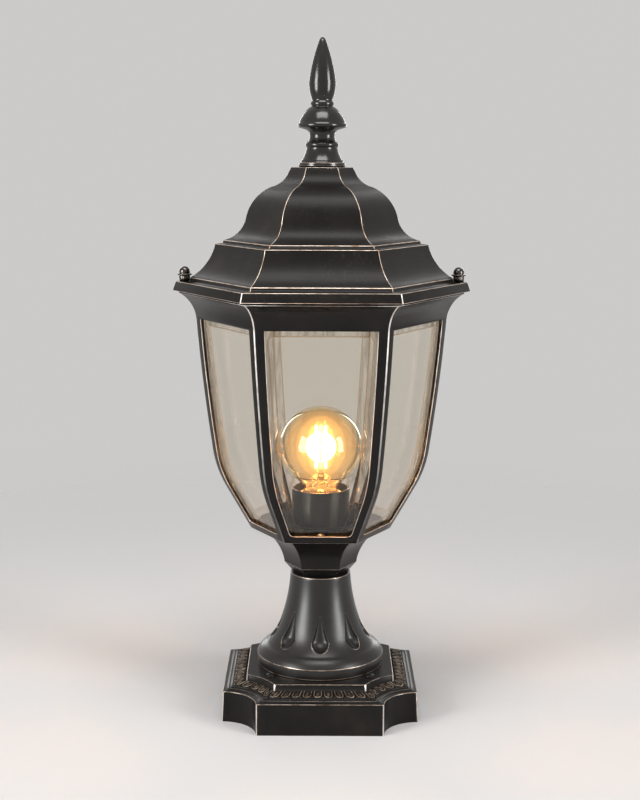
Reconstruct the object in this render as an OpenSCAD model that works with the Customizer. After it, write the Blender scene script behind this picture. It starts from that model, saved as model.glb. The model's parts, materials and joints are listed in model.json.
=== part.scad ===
// Pillar lamp: a six-sided cast lantern on a round fluted column and a square notched base.
// Corners of the lantern lie on the X axis, a flat side faces the front (-Y), +Z is up.
// A hexagon's size is its corner radius, and heights are millimetres above the ground.

/* [Base] */
// Width of the plinth across its flat sides, at the ground
base_w = 141.4; // [120:0.1:180]
// Height of the plinth's upright sides
plinth_h = 22.5; // [15:0.5:40]
// How far each plinth side leans in over its height
plinth_draft = 1.1; // [0:0.1:3]
// Radius of the quarter-round notch in each corner
notch_r = 25.8; // [15:0.1:32]
// Width of the chamfer between a side and a notch
notch_chamfer = 1.5; // [0.5:0.1:3]
// Wall thickness of the base casting
base_wall = 4; // [3:0.1:6]
// Step in from the plinth to the moulding above it
moulding_inset = 3.8; // [2:0.1:6]
// Height of the moulding above the plinth
moulding_h = 1.3; // [0.8:0.1:3]
// Step in from the plinth to the foot of the ornament band
band_inset = 7.4; // [6:0.1:10]
// Height of the ornament band's foot above the plinth
band_foot_h = 2; // [1.5:0.1:4]
// Width of the ornament band, seen from above
band_w = 8.6; // [6:0.1:12]
// Rise of the ornament band over its width
band_rise = 2.4; // [1:0.1:5]
// Spacing of the carved tongues on the ornament band
egg_pitch = 7.5; // [6.5:0.1:12]
// Radius of a tongue's round end
egg_r = 2.6; // [1.8:0.1:2.8]
// Height of a tongue above the band's slope
egg_h = 0.9; // [0.4:0.1:1.5]
// Width of the rim round a tongue's groove
egg_rim_w = 0.9; // [0.6:0.1:1.2]
// Depth of that groove below the band's slope
egg_groove = 0.4; // [0.1:0.1:1]
// Step in from the plinth to the platform
platform_inset = 17.6; // [16.8:0.1:22]
// Height of the platform's top above the ground
platform_z = 31; // [28:0.5:50]
// How much faster than the sides the notches grow towards the platform
notch_growth = 0.92; // [0.7:0.01:1]

/* [Column] */
// Height of the column
column_h = 68.6; // [60:0.1:120]
// Width of the platform left bare outside the round foot
foot_margin = 6.5; // [5.5:0.1:12]
// Height of the foot's upright rim
foot_rim_h = 8; // [4:0.1:12]
// Step in from the foot's rim to where its shoulder turns into the shaft
shoulder_inset = 7; // [4:0.1:10]
// Height of that turn above the foot's underside
shoulder_h = 15.2; // [13:0.1:20]
// Radius at the waist
waist_r = 28.9; // [26:0.1:33]
// Height of the waist above the foot's underside
waist_h = 32.5; // [26:0.1:45]
// Radius at the column's top
neck_r = 22; // [18:0.1:26]
// Wall thickness of the column casting
column_wall = 3.6; // [3:0.1:6]
// Number of teardrop flutes
flutes = 8; // [4:1:12]
// Radius of a flute's round end
flute_r = 6.8; // [4:0.1:8]
// Radius of a flute's upper end
flute_tip_r = 1.5; // [0.8:0.1:3]
// Length of a flute's straight axis
flute_l = 22; // [14:0.5:30]
// Height of a flute's round end above the turn of the shoulder
flute_lift = 8.4; // [6:0.1:12]
// Depth of that end's centre inside the shoulder
flute_sink = 3.3; // [2:0.1:5]

/* [Cup] */
// Height of the six-sided cup
cup_h = 32.3; // [28:0.1:60]
// How far the column's top stands out beyond the cup's corners
cup_inset = 1.5; // [0.5:0.1:3]
// Corner radius above the lower chamfer
cup_waist_r = 26.8; // [25:0.1:32]
// Height of that chamfer
cup_chamfer_h = 7; // [5:0.1:10]
// How far the cage's corners stand out beyond the cup's top
cup_top_inset = 8.1; // [5:0.1:10]
// Wall thickness of the cup
cup_wall = 3.5; // [2.5:0.1:4.5]

/* [Cage] */
// Corner radius at the underside
cage_foot_r = 51.1; // [48:0.1:60]
// Corner radius at the top of the straight flare
flare_r = 69; // [62:0.1:80]
// Height of the straight flare
flare_h = 31; // [24:0.1:45]
// Corner radius where the bend ends
bend_r = 79.2; // [74:0.1:90]
// Height where the bend ends
bend_h = 62.1; // [52:0.1:80]
// Corner radius at the window's head
head_r = 89.9; // [84:0.1:100]
// Height of the window's head above the underside
head_h = 154.3; // [130:0.1:220]
// Height of the cove and the rim, from the window's head to the seat of the roof
cove_h = 19.8; // [12:0.1:30]
// How far the rim under the roof stands out beyond the window's head
rim_over = 11.9; // [10.5:0.1:18]
// Height of the rim's thin upright lip
rim_lip_h = 2; // [1:0.1:3]
// Wall thickness of the cage
cage_wall = 2.5; // [2:0.1:3]
// Thickness of the cage's bottom plate
cage_floor = 3.1; // [2.5:0.1:5]
// Width of a rib's side at the window's head
rib_head_w = 7.2; // [6:0.1:10]
// Width of a rib's side at the sill
rib_foot_w = 6; // [5.5:0.1:9]
// Height of the sill above the underside
sill_h = 5.6; // [4.5:0.1:9]
// Radius of the window's lower corners
sill_corner_r = 2.4; // [1:0.1:4]
// Gap over the spigot that centres the roof, under the roof's ledge
spigot_gap = 0.5; // [0.2:0.1:1]
// Gap round that spigot
seat_gap = 0.5; // [0.2:0.1:1]

/* [Glass] */
// Thickness of a pane
pane_t = 2.6; // [2:0.1:3]
// Thickness at a pane's bevelled edge
pane_edge_t = 1.3; // [0.8:0.1:1.6]
// Width of the bevel
pane_bevel_w = 9; // [4:0.5:12]
// Gap between a pane and the cage
pane_gap = 0.2; // [0.1:0.05:0.5]
// Distance from a pane's side to the cage's inner corner
pane_side_gap = 1.8; // [1.6:0.1:2.4]
// How far a pane reaches above the window's head
pane_lap = 5; // [3:0.1:8]

/* [Roof] */
// Height of the roof, from its seat to its flat cap
roof_h = 87.1; // [70:0.1:130]
// How far the eave stands out beyond the cage's rim
eave_over = 4.6; // [2.5:0.1:10]
// Height of the eave's side
eave_h = 6.6; // [5:0.1:10]
// How far the eave's side leans in over its height
eave_lean = 2.2; // [0:0.1:4]
// Width of the ledge between the eave's edge and the lower tier
ledge_w = 10.6; // [9.5:0.1:12]
// Height of the small step under each tier
tier_step_h = 2.6; // [1:0.1:4]
// How far the lower tier leans in over its height
lower_run = 17.8; // [12:0.1:22]
// Height of the lower tier's top above the seat
lower_top_h = 33.2; // [26:0.1:45]
// Corner radius at the foot of the upper tier
upper_foot_r = 69.4; // [60:0.1:71]
// Corner radius where the upper tier turns from hollow to round
ogee_r = 54; // [48:0.1:58]
// Height of that turn above the seat
ogee_h = 51; // [46:0.1:60]
// Corner radius where the upper tier turns from round to hollow
crown_r = 35.8; // [30:0.1:44]
// Height of that turn above the seat
crown_h = 73.4; // [65:0.1:90]
// Width of the flat cap left bare outside the finial
cap_margin = 2.9; // [1.5:0.1:5]
// Wall thickness of the roof casting
roof_wall = 3; // [2.5:0.1:4]
// Width of the seat, from the cage's rim in to its spigot
seat_w = 6.8; // [4:0.1:7.5]

/* [Finial] */
// Height of the finial
finial_h = 89.2; // [70:0.1:130]
// Radius of the finial's foot
finial_foot_r = 16.5; // [12:0.1:18]
// Height of the foot's upright edge
finial_foot_h = 4.2; // [3:0.1:6]
// Radius of the ring under the neck
finial_ring_r = 11.6; // [9:0.1:14]
// Height of that ring above the finial's underside
finial_ring_h = 15.6; // [12:0.1:19]
// Radius of the neck
finial_neck_r = 8.9; // [7:0.1:10]
// Radius of the drip flange
finial_flange_r = 17.4; // [14:0.1:20]
// Height of the flange above the finial's underside
finial_flange_h = 29; // [26:0.1:34]
// Radius of the ring under the spear
finial_collar_r = 8.4; // [7:0.1:10]
// Height of that ring above the finial's underside
finial_collar_h = 43.8; // [39:0.1:49]
// Largest radius of the spear
finial_spear_r = 9.6; // [7:0.1:12]
// Height of that widest place above the finial's underside
finial_spear_h = 58.9; // [54:0.1:64]

/* [Lampholder] */
// Outer radius of the black sleeve
sleeve_r = 21; // [20:0.1:26]
// Height of the sleeve
sleeve_h = 26.7; // [20:0.1:40]
// Wall thickness of the sleeve
sleeve_wall = 1.6; // [1:0.1:2]
// Radius of the lampholder's body
holder_r = 17; // [16.5:0.1:18]
// How far the lampholder reaches down into the cup
holder_drop = 17; // [14:0.5:20]
// Inner radius of the screw shell
shell_r = 13.4; // [13.3:0.05:13.5]
// Wall thickness of the screw shell
shell_t = 0.6; // [0.4:0.1:0.8]
// Depth of the screw shell
shell_h = 20; // [15:0.5:24]

/* [Bulb] */
// Radius of the bulb's globe
globe_r = 30; // [25:0.5:35]
// Height of the globe's centre above the sleeve's mouth
globe_lift = 29.7; // [24:0.1:40]
// Radius of the glass neck where it leaves the cap
bulb_neck_r = 12.4; // [11:0.1:12.5]
// Thickness of the glass
bulb_glass_t = 0.8; // [0.5:0.1:1.2]
// Radius of the screw cap
bulb_cap_r = 13.1; // [12.8:0.05:13.1]
// Height of the screw cap
bulb_cap_h = 22.5; // [18:0.5:25]
// Number of light filaments
filaments = 4; // [2:1:8]
// Length of a filament
filament_l = 30; // [20:0.5:34]
// Radius of a filament
filament_r = 0.9; // [0.6:0.1:1.5]
// Radius of the ring of filaments
filament_ring_r = 5; // [3:0.1:7]

/* [Fixings] */
// Radius of the threaded tube that ties base, column and cup together
tube_r = 5; // [4:0.1:6]
// Radius of the cable way through that tube
tube_bore_r = 3.5; // [2:0.1:4]
// Thickness of the steel plate that is bolted to the pier
plate_t = 3; // [2:0.1:5]
// Gap between that plate's corners and the notched walls
plate_gap = 5.4; // [1:0.1:8]
// Radius of the cable hole in the plate
cable_hole_r = 12; // [8:0.5:16]
// Radius of each bolt hole in the plate
pier_hole_r = 3.3; // [2.5:0.1:5]
// Radius of the circle of pier bolts
pier_circle_r = 33; // [28:0.5:38]
// Radius of the screws in the platform
base_screw_r = 2; // [1.5:0.1:2.5]
// Distance from the lower tier's corner out to a knob screw
knob_inset = 4; // [3.6:0.1:5]
// Radius of a knob screw's shank
knob_shank_r = 1.75; // [1.2:0.05:2]
// Radius of the stud that holds the finial
stud_r = 3; // [2:0.1:4]
// Gap round a screw in its hole
screw_gap = 0.3; // [0.2:0.05:0.5]

/* [Hidden] */

$fn = 64;
arc_steps = 6;
k = cos(30);
eps = 1;

// Heights of the seats, from the ground up
column_z = platform_z;
cup_z = column_z + column_h;
cage_z = cup_z + cup_h;
roof_z = cage_z + head_h + cove_h;
finial_z = roof_z + roof_h;
cage_floor_z = cage_z + cage_floor;
tray_t = 1.3;
tray_z = cage_floor_z;
sleeve_z = tray_z + tray_t;
sleeve_top_z = sleeve_z + sleeve_h;
globe_z = sleeve_top_z + globe_lift;

// Radii that follow from the piece each one seats on
platform_half = base_w / 2 - platform_inset;
foot_r = platform_half - foot_margin;
shoulder_r = foot_r - shoulder_inset;
cup_foot_r = neck_r - cup_inset;
cup_top_r = cage_foot_r - cup_top_inset;
rim_r = head_r + rim_over;
seat_r = rim_r - seat_w;
eave_r = rim_r + eave_over;
lower_foot_r = eave_r - eave_lean - ledge_w;
lower_top_r = lower_foot_r - lower_run;
knob_d = lower_foot_r + knob_inset;
cap_r = (finial_foot_r + cap_margin) / k;

paint = [0.10, 0.095, 0.09];
brass = [0.80, 0.62, 0.30];
steel = [0.62, 0.63, 0.65];
amber = [0.95, 0.72, 0.40, 0.45];
clear = [0.80, 0.84, 0.86, 0.40];

// Points of an arc from p to q that bows by s to the left of the way from p to q
function bow(p, q, s, n = arc_steps) =
    let (
        d = q - p,
        c = norm(d),
        u = d / c,
        v = [-u[1], u[0]],
        r = (c * c / 4 + s * s) / (2 * s),
        m = (p + q) / 2 + v * (s - r),
        h = asin(c / 2 / r)
    )
    [for (i = [0:n]) let (a = h * (2 * i / n - 1)) m + r * (u * sin(a) + v * cos(a))];

// An outline moved in and down, which leaves a wall of that thickness
function shelled(edge, t) = [for (p = edge) [p[0] - t / k, p[1] - t]];

// Corner radius of an outline at height z
function radius_at(z, edge) = lookup(z, [for (p = edge) [p[1], p[0]]]);

// A six-sided solid whose corner radius follows a list of [radius, height] from the bottom up
module hex_solid(edge) {
    right = [for (p = edge) [p[0] * k, p[1]]];
    left = [for (i = [len(edge) - 1:-1:0]) [-edge[i][0] * k, edge[i][1]]];
    reach = 2.4 * max([for (p = edge) p[0]]);
    intersection_for (i = [0:2])
        rotate([0, 0, 60 * i])
            rotate([90, 0, 90])
                linear_extrude(height = reach, center = true)
                    polygon(concat(right, left));
}

// A turned solid that follows a list of [radius, height] from the bottom up
module turned(edge) {
    first = edge[0];
    last = edge[len(edge) - 1];
    rotate_extrude()
        polygon(concat([[0, first[1]]], edge, [[0, last[1]]]));
}

module at_corners(n = 6, d = 0) {
    for (i = [0:n - 1])
        rotate([0, 0, 360 / n * i])
            translate([d, 0, 0])
                children();
}

// Base

// Radius of the notch where the sides stand in by inset
function notch_at(inset) = notch_r + inset * notch_growth;

// A notched square block, its sides leaning from half width a at the bottom to b at the top
module notched_block(h, a, b, ra, rb) {
    corner = base_w / 2;
    difference() {
        intersection_for (turn = [0, 90])
            rotate([90, 0, turn])
                linear_extrude(height = 3 * a, center = true)
                    polygon([[-a, 0], [a, 0], [b, h], [-b, h]]);
        for (i = [0:3])
            rotate([0, 0, 90 * i])
                translate([corner, corner, -eps * h / 10])
                    cylinder(r1 = ra, r2 = rb, h = h * 1.2);
    }
}

// Height of the moulding line and of the band, above the ground
band_z = plinth_h + band_foot_h;
band_top_z = band_z + band_rise;
plinth_top_w = base_w / 2 - plinth_draft;
band_top_inset = band_inset + band_w;
egg_margin = 0.8;
egg_sink = 1.2;
egg_step = 30;
base_boss_r = base_screw_r + 2.6;
base_screw_head_r = 1.6 * base_screw_r;
base_screw_head_h = 1.1 * base_screw_r;
base_screw_d = foot_r + base_screw_head_r + 0.8;

module base_outside() {
    half = base_w / 2;
    notched_block(plinth_h, half, plinth_top_w, notch_r, notch_r);
    translate([0, 0, plinth_h])
        notched_block(moulding_h, plinth_top_w - 1, half - moulding_inset - plinth_draft,
            notch_r + 1, notch_at(moulding_inset));
    translate([0, 0, plinth_h])
        notched_block(band_foot_h, half - band_inset, half - band_inset,
            notch_at(band_inset), notch_at(band_inset));
    translate([0, 0, band_z])
        notched_block(band_rise, half - band_inset, half - band_top_inset,
            notch_at(band_inset), notch_at(band_top_inset));
    translate([0, 0, plinth_h])
        notched_block(platform_z - plinth_h, platform_half, platform_half,
            notch_at(platform_inset), notch_at(platform_inset));
}

// One tongue of the egg-and-dart band: round at the foot, straight up the slope
module tongue(r, low, high) {
    foot = egg_margin + egg_r;
    reach = norm([band_w, band_rise]) - egg_margin;
    translate([0, 0, low])
        linear_extrude(high - low)
            polygon(concat(
                [for (a = [180:egg_step:360]) [0, foot] + r * [cos(a), sin(a)]],
                [[r, reach], [-r, reach]]));
}

// Sets its child on each tongue's seat, with x along the band and y up its slope
module at_tongues() {
    half = base_w / 2;
    foot_r = notch_at(band_inset);
    top_r = notch_at(band_top_inset);
    middle = (band_inset + band_top_inset) / 2;
    mitre = asin(middle / notch_at(middle));
    side_steps = floor((half - sqrt(pow(top_r, 2) - pow(band_top_inset, 2)) - egg_r) / egg_pitch);
    notch_steps = ceil((90 - 2 * mitre) * PI / 180 * notch_at(middle) / egg_pitch);
    for (turn = [0:90:270])
        rotate([0, 0, turn]) {
            for (i = [-side_steps:side_steps])
                translate([i * egg_pitch, band_inset - half, band_z])
                    rotate([atan2(band_rise, band_w), 0, 0])
                        children();
            for (i = [1:notch_steps - 1])
                translate([half, -half, band_z])
                    rotate([0, 0, mitre + (90 - 2 * mitre) * i / notch_steps])
                        translate([0, foot_r, 0])
                            rotate([atan2(band_rise, top_r - foot_r), 0, 0])
                                children();
        }
}

module base_hollow() {
    half = base_w / 2;
    low = plinth_h - base_wall;
    wide = base_wall + plinth_draft;
    translate([0, 0, -eps])
        notched_block(low + eps, half - wide, half - wide, notch_r + wide, notch_r + wide);
    translate([0, 0, low - eps])
        notched_block(platform_z - base_wall - low + eps, platform_half - base_wall,
            platform_half - base_wall, notch_at(platform_inset) + base_wall,
            notch_at(platform_inset) + base_wall);
}

module base() {
    color(paint)
        difference() {
            union() {
                difference() {
                    base_outside();
                    base_hollow();
                }
                at_tongues()
                    tongue(egg_r, -egg_sink, egg_h);
                rotate([0, 0, 45])
                    at_corners(4, base_screw_d)
                        translate([0, 0, plate_t])
                            cylinder(r = base_boss_r, h = platform_z - plate_t - base_wall / 2);
            }
            at_tongues()
                tongue(egg_r - egg_rim_w, -egg_groove, egg_h + eps);
            rotate([0, 0, 45])
                at_corners(4, base_screw_d)
                    translate([0, 0, plate_t - eps])
                        cylinder(r = base_screw_r + screw_gap, h = platform_z);
            cylinder(r = tube_r + screw_gap, h = platform_z + eps);
            translate([0, -block_y, ceiling_z - eps])
                cylinder(r = earth_screw_r + 0.1, h = earth_screw_depth + eps);
            for (i = [0:3])
                rotate([0, 0, 90 * i])
                    for (side = [-1, 1])
                        translate([side * (base_w / 2 - notch_r), -base_w / 2, plinth_h / 2])
                            rotate([0, 0, 45])
                                cube([notch_chamfer, notch_chamfer, plinth_h + 2 * eps], center = true);
        }
}

plate_w = base_w - sqrt(2) * (notch_r + base_wall + plinth_draft + plate_gap);

module mounting_plate() {
    color(steel)
        difference() {
            translate([0, 0, plate_t / 2])
                cube([plate_w, plate_w, plate_t], center = true);
            translate([0, 0, -eps])
                cylinder(r = cable_hole_r, h = plate_t + 2 * eps);
            at_corners(4, pier_circle_r)
                translate([0, 0, -eps])
                    cylinder(r = pier_hole_r, h = plate_t + 2 * eps);
            rotate([0, 0, 45])
                at_corners(4, base_screw_d)
                    translate([0, 0, -eps])
                        cylinder(r = base_screw_r + 0.1, h = plate_t + 2 * eps);
        }
}

module base_screws() {
    color(paint)
        rotate([0, 0, 45])
            at_corners(4, base_screw_d)
                turned(concat(
                    [[base_screw_r, 0.5], [base_screw_r, platform_z], [base_screw_head_r, platform_z]],
                    bow([base_screw_head_r, platform_z + 0.5], [0.4, platform_z + base_screw_head_h], -0.6)
                ));
}

// Column

function column_edge() = concat(
    [[foot_r - 0.4, column_z], [foot_r, column_z + 0.6], [foot_r, column_z + foot_rim_h]],
    bow([foot_r - 0.5, column_z + foot_rim_h + 0.8], [shoulder_r, column_z + shoulder_h], -0.7),
    bow([shoulder_r, column_z + shoulder_h], [waist_r, column_z + waist_h], 1.25),
    bow([waist_r, column_z + waist_h], [neck_r, cup_z - 0.4], 1.2),
    [[neck_r - 0.4, cup_z]]
);

// The hollow stays clear of the flutes
column_bore_r = waist_r - 2 * column_wall - flute_r / 3;
column_flare_h = shoulder_h - column_wall;

function column_hollow_edge() = [
    [foot_r - 2 * column_wall, column_z - eps],
    [foot_r - 2 * column_wall, column_z + foot_rim_h / 2],
    [waist_r - column_wall - flute_r / 2, column_z + column_flare_h],
    [column_bore_r - 2, column_z + waist_h + flute_l / 2],
    [neck_r - 2 * column_wall, cup_z - column_wall]
];

// A scooped flute: a ball at the foot and a slim cone that leaves the surface at its tip
flute_foot = [shoulder_r - flute_sink, column_z + shoulder_h + flute_lift];
flute_aim = [waist_r - 2, column_z + waist_h + flute_l / 2];
flute_lean = atan2(flute_foot[0] - flute_aim[0], flute_aim[1] - flute_foot[1]);

module flute() {
    translate([flute_foot[0], 0, flute_foot[1]])
        rotate([0, -flute_lean, 0]) {
            sphere(r = flute_r);
            cylinder(r1 = flute_r, r2 = flute_tip_r, h = flute_l);
        }
}

module column() {
    color(paint)
        difference() {
            turned(column_edge());
            turned(column_hollow_edge());
            cylinder(r = tube_r + screw_gap, h = cup_z + eps);
            rotate([0, 0, -90])
                at_corners(flutes)
                    flute();
        }
}

// Cup

function cup_edge() = concat(
    [[cup_foot_r, cup_z], [cup_waist_r, cup_z + cup_chamfer_h], [cup_waist_r + 0.2, cup_z + cup_chamfer_h + 2]],
    bow([cup_waist_r + 0.5, cup_z + cup_chamfer_h + 3.2], [cup_top_r, cage_z - 1.2], 2.6),
    [[cup_top_r, cage_z]]
);

cup_floor = 4.4;
cup_screw_d = 26;
cup_screw_r = 2;
cup_boss_r = cup_screw_r + 2.4;
cup_boss_h = 9;

function cup_hollow_edge() = concat(
    [for (p = cup_edge()) if (p[1] > cup_z + cup_floor + cup_wall) [p[0] - cup_wall / k, p[1]]],
    [[cup_top_r - cup_wall / k, cage_z + eps]]
);

module cup() {
    hollow = cup_hollow_edge();
    low = [[hollow[0][0] - 2, cup_z + cup_floor]];
    color(paint)
        difference() {
            union() {
                difference() {
                    hex_solid(cup_edge());
                    hex_solid(concat(low, hollow));
                }
                at_corners(3, cup_screw_d)
                    translate([0, 0, cage_z - cup_boss_h])
                        rotate([0, 0, 180])
                            cylinder(r = cup_boss_r, h = cup_boss_h);
            }
            cylinder(r = tube_r + screw_gap, h = cage_z);
            at_corners(3, cup_screw_d)
                translate([0, 0, cage_z - cup_boss_h + 1])
                    cylinder(r = cup_screw_r + 0.1, h = cup_boss_h);
        }
}

// Threaded tube and what clamps on it

nut_r = 1.96 * tube_r;
nut_h = 1.2 * tube_r;
washer_r = 2.4 * tube_r;
washer_t = 1.5;
tube_foot_z = platform_z - base_wall - washer_t - nut_h - 6;
holder_z = sleeve_z - holder_drop;
tube_top_z = holder_z + 9;

module threaded_tube() {
    color(steel)
        translate([0, 0, tube_foot_z])
            difference() {
                cylinder(r = tube_r, h = tube_top_z - tube_foot_z);
                translate([0, 0, -eps])
                    cylinder(r = tube_bore_r, h = tube_top_z - tube_foot_z + 2 * eps);
            }
}

module tube_nut() {
    difference() {
        cylinder(r = nut_r, h = nut_h, $fn = 6);
        translate([0, 0, -eps])
            cylinder(r = tube_r + 0.1, h = nut_h + 2 * eps);
    }
}

module tube_nuts() {
    color(steel) {
        translate([0, 0, platform_z - base_wall - washer_t - nut_h])
            tube_nut();
        translate([0, 0, cup_z + cup_floor + washer_t])
            tube_nut();
    }
}

module tube_washer() {
    difference() {
        cylinder(r = washer_r, h = washer_t);
        translate([0, 0, -eps])
            cylinder(r = tube_r + 0.1, h = washer_t + 2 * eps);
    }
}

module tube_washers() {
    color(steel) {
        translate([0, 0, platform_z - base_wall - washer_t])
            tube_washer();
        translate([0, 0, cup_z + cup_floor])
            tube_washer();
    }
}

// Wiring inside the base

block_size = [30, 14, 12];
block_y = 27;
block_pitch = 9;
block_screw_r = 1.5;
earth_screw_r = 2;
earth_screw_depth = 2.5;
ceiling_z = platform_z - base_wall;

module terminal_block() {
    color("ivory")
        difference() {
            translate([0, block_y, ceiling_z - block_size[2] / 2])
                cube(block_size, center = true);
            for (i = [-1:1])
                translate([i * block_pitch, block_y, ceiling_z - block_size[2] - eps]) {
                    cylinder(r = block_screw_r + screw_gap, h = block_size[2] / 2 + eps);
                    translate([0, 0, eps + block_size[2] / 2])
                        rotate([90, 0, 0])
                            cylinder(r = 1.8, h = 2 * block_size[1], center = true);
                }
        }
}

module terminal_screws() {
    color(brass)
        for (i = [-1:1])
            translate([i * block_pitch, block_y, ceiling_z - block_size[2]])
                cylinder(r = block_screw_r, h = block_size[2] / 2 - 1);
}

module earth_screw() {
    color(brass)
        translate([0, -block_y, 0])
            turned([
                [1.7 * earth_screw_r, ceiling_z - 3.5],
                [1.7 * earth_screw_r, ceiling_z - 1],
                [2.2 * earth_screw_r, ceiling_z - 1],
                [2.2 * earth_screw_r, ceiling_z],
                [earth_screw_r, ceiling_z],
                [earth_screw_r, ceiling_z + earth_screw_depth - 0.3]
            ]);
}

// Cage

function cage_edge() = concat(
    [[cage_foot_r, cage_z]],
    bow([flare_r, cage_z + flare_h], [bend_r, cage_z + bend_h], -1.7),
    bow([bend_r, cage_z + bend_h], [head_r, cage_z + head_h], -0.8, 2 * arc_steps),
    bow([head_r, cage_z + head_h], [rim_r - 0.4, roof_z - rim_lip_h], 2.6),
    [[rim_r, roof_z - rim_lip_h], [rim_r, roof_z]]
);

// Inner corner radius of the cage: it follows the ribs, then runs straight up
function cage_inner_r(z) =
    radius_at(min(z, cage_z + head_h), cage_edge()) - cage_wall / k;

// Heights at which the cage's side bends, between two limits
function bends_between(low, high) =
    concat([low], [for (p = cage_edge()) if (p[1] > low + 0.5 && p[1] < high - 0.5) p[1]], [high]);

function cage_hollow_edge() = [
    for (z = bends_between(cage_floor_z, cage_z + head_h)) [cage_inner_r(z), z]
];

// Half width of a window at height z
function window_half(z) =
    let (share = (z - cage_z - sill_h) / (head_h - sill_h))
    radius_at(z, cage_edge()) / 2 - rib_foot_w - (rib_head_w - rib_foot_w) * share;

window_top_z = cage_z + head_h;
sill_z = cage_z + sill_h;

module window_outline() {
    side = [for (z = bends_between(sill_z + sill_corner_r, window_top_z)) [window_half(z), z]];
    foot = bow([window_half(sill_z) - sill_corner_r, sill_z], side[0], -0.3 * sill_corner_r);
    right = concat([for (i = [0:len(foot) - 2]) foot[i]], side);
    polygon(concat(right, [for (i = [len(right) - 1:-1:0]) [-right[i][0], right[i][1]]]));
}

clip_screw_r = 1.5;
clip_w = 9;
clip_t = 1;
clip_h = 20;
clip_z = window_top_z + pane_lap + 5;
// Inner corner radius of the ring of panes at its head
glass_corner_r = cage_inner_r(window_top_z) - (pane_gap + pane_t) / k;
// Distance from the axis at which a flat clip touches both panes beside a corner
clip_d = glass_corner_r - clip_w / 2 / tan(60) - 0.3;
spigot_r = seat_r - seat_gap;
spigot_h = eave_h - roof_wall - spigot_gap;
knob_hole_depth = 3.4;

module cage() {
    color(paint)
        difference() {
            union() {
                difference() {
                    union() {
                        hex_solid(cage_edge());
                        hex_solid([[spigot_r, roof_z - eps], [spigot_r, roof_z + spigot_h]]);
                    }
                    hex_solid(cage_hollow_edge());
                    hex_solid([
                        [cage_inner_r(window_top_z), window_top_z - eps / 10],
                        [cage_inner_r(window_top_z), roof_z + spigot_h + eps]
                    ]);
                }
                at_corners(6, clip_d)
                    translate([0, 0, clip_z])
                        rotate([0, 90, 0])
                            cylinder(r = 3.4, h = head_r - clip_d - cage_wall);
            }
            at_corners(6)
                rotate([90, 0, 120])
                    translate([0, 0, cage_foot_r / 2])
                        linear_extrude(height = rim_r)
                            window_outline();
            at_corners(6, clip_d - eps)
                translate([0, 0, clip_z])
                    rotate([0, 90, 0])
                        cylinder(r = clip_screw_r + 0.1, h = 8);
            translate([0, 0, cage_z - eps])
                cylinder(r = holder_r + 1, h = cage_floor + 2 * eps);
            at_corners(3, cup_screw_d) {
                translate([0, 0, cage_z - eps])
                    cylinder(r = cup_screw_r + screw_gap, h = cage_floor + 2 * eps);
                translate([0, 0, cage_floor_z - 2.2])
                    cylinder(r1 = cup_screw_r + screw_gap, r2 = 2 * cup_screw_r + screw_gap, h = 2.2);
            }
            rotate([0, 0, 90])
                at_corners(2, tray_screw_d)
                    translate([0, 0, cage_z - eps])
                        cylinder(r = tray_screw_r + 0.1, h = cage_floor + 2 * eps);
            at_corners(2, knob_d)
                translate([0, 0, roof_z - knob_hole_depth])
                    cylinder(r = knob_shank_r + screw_gap, h = knob_hole_depth + eps);
        }
}

module cage_screws() {
    color(steel)
        at_corners(3, cup_screw_d)
            turned([
                [cup_screw_r, cage_z - cup_boss_h + 2],
                [cup_screw_r, cage_floor_z - 2.1],
                [2 * cup_screw_r, cage_floor_z - 0.1]
            ]);
}

// Tray over the wiring, with an upturned tab behind each corner

tray_screw_d = 37;
tray_screw_r = 1.5;
tray_r = cage_inner_r(tray_z) - (pane_gap + pane_t) / k - 0.4;
tab_w = 7;
tab_h = 5;
tab_t = 1;

module tray() {
    color(paint)
        difference() {
            union() {
                hex_solid([[tray_r, tray_z], [tray_r, tray_z + tray_t]]);
                at_corners(6, tray_r - tab_w / 2 / tan(60) - tab_t)
                    translate([0, -tab_w / 2, tray_z])
                        cube([tab_t, tab_w, tray_t + tab_h]);
            }
            translate([0, 0, tray_z - eps])
                cylinder(r = holder_r + 0.3, h = tray_t + 2 * eps);
            rotate([0, 0, 90])
                at_corners(2, tray_screw_d)
                    translate([0, 0, tray_z - eps])
                        cylinder(r = tray_screw_r + screw_gap, h = tray_t + 2 * eps);
        }
}

module tray_screws() {
    color(steel)
        rotate([0, 0, 90])
            at_corners(2, tray_screw_d)
                turned(concat(
                    [[tray_screw_r, cage_z + 0.5], [tray_screw_r, sleeve_z], [1.8 * tray_screw_r, sleeve_z]],
                    bow([1.8 * tray_screw_r, sleeve_z + 0.3], [0.3, sleeve_z + 1.5], -0.5)
                ));
}

// Glass panes: flat across, curved upwards, bevelled on the inside along all four edges

pane_foot_z = cage_floor_z + pane_gap;
pane_top_z = window_top_z + pane_lap;

function pane_face(z) = (cage_inner_r(z) - pane_gap / k) * k;
function pane_half(z) = (cage_inner_r(z) - pane_gap / k) / 2 - pane_side_gap;

// Six points of the pane's section at height z; body is its thickness inside the bevel
function pane_row(z, body) =
    let (y = pane_face(z), w = pane_half(z), b = w - pane_bevel_w)
    [
        [-w, -y, z], [w, -y, z], [w, pane_edge_t - y, z],
        [b, body - y, z], [-b, body - y, z], [-w, pane_edge_t - y, z]
    ];

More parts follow.
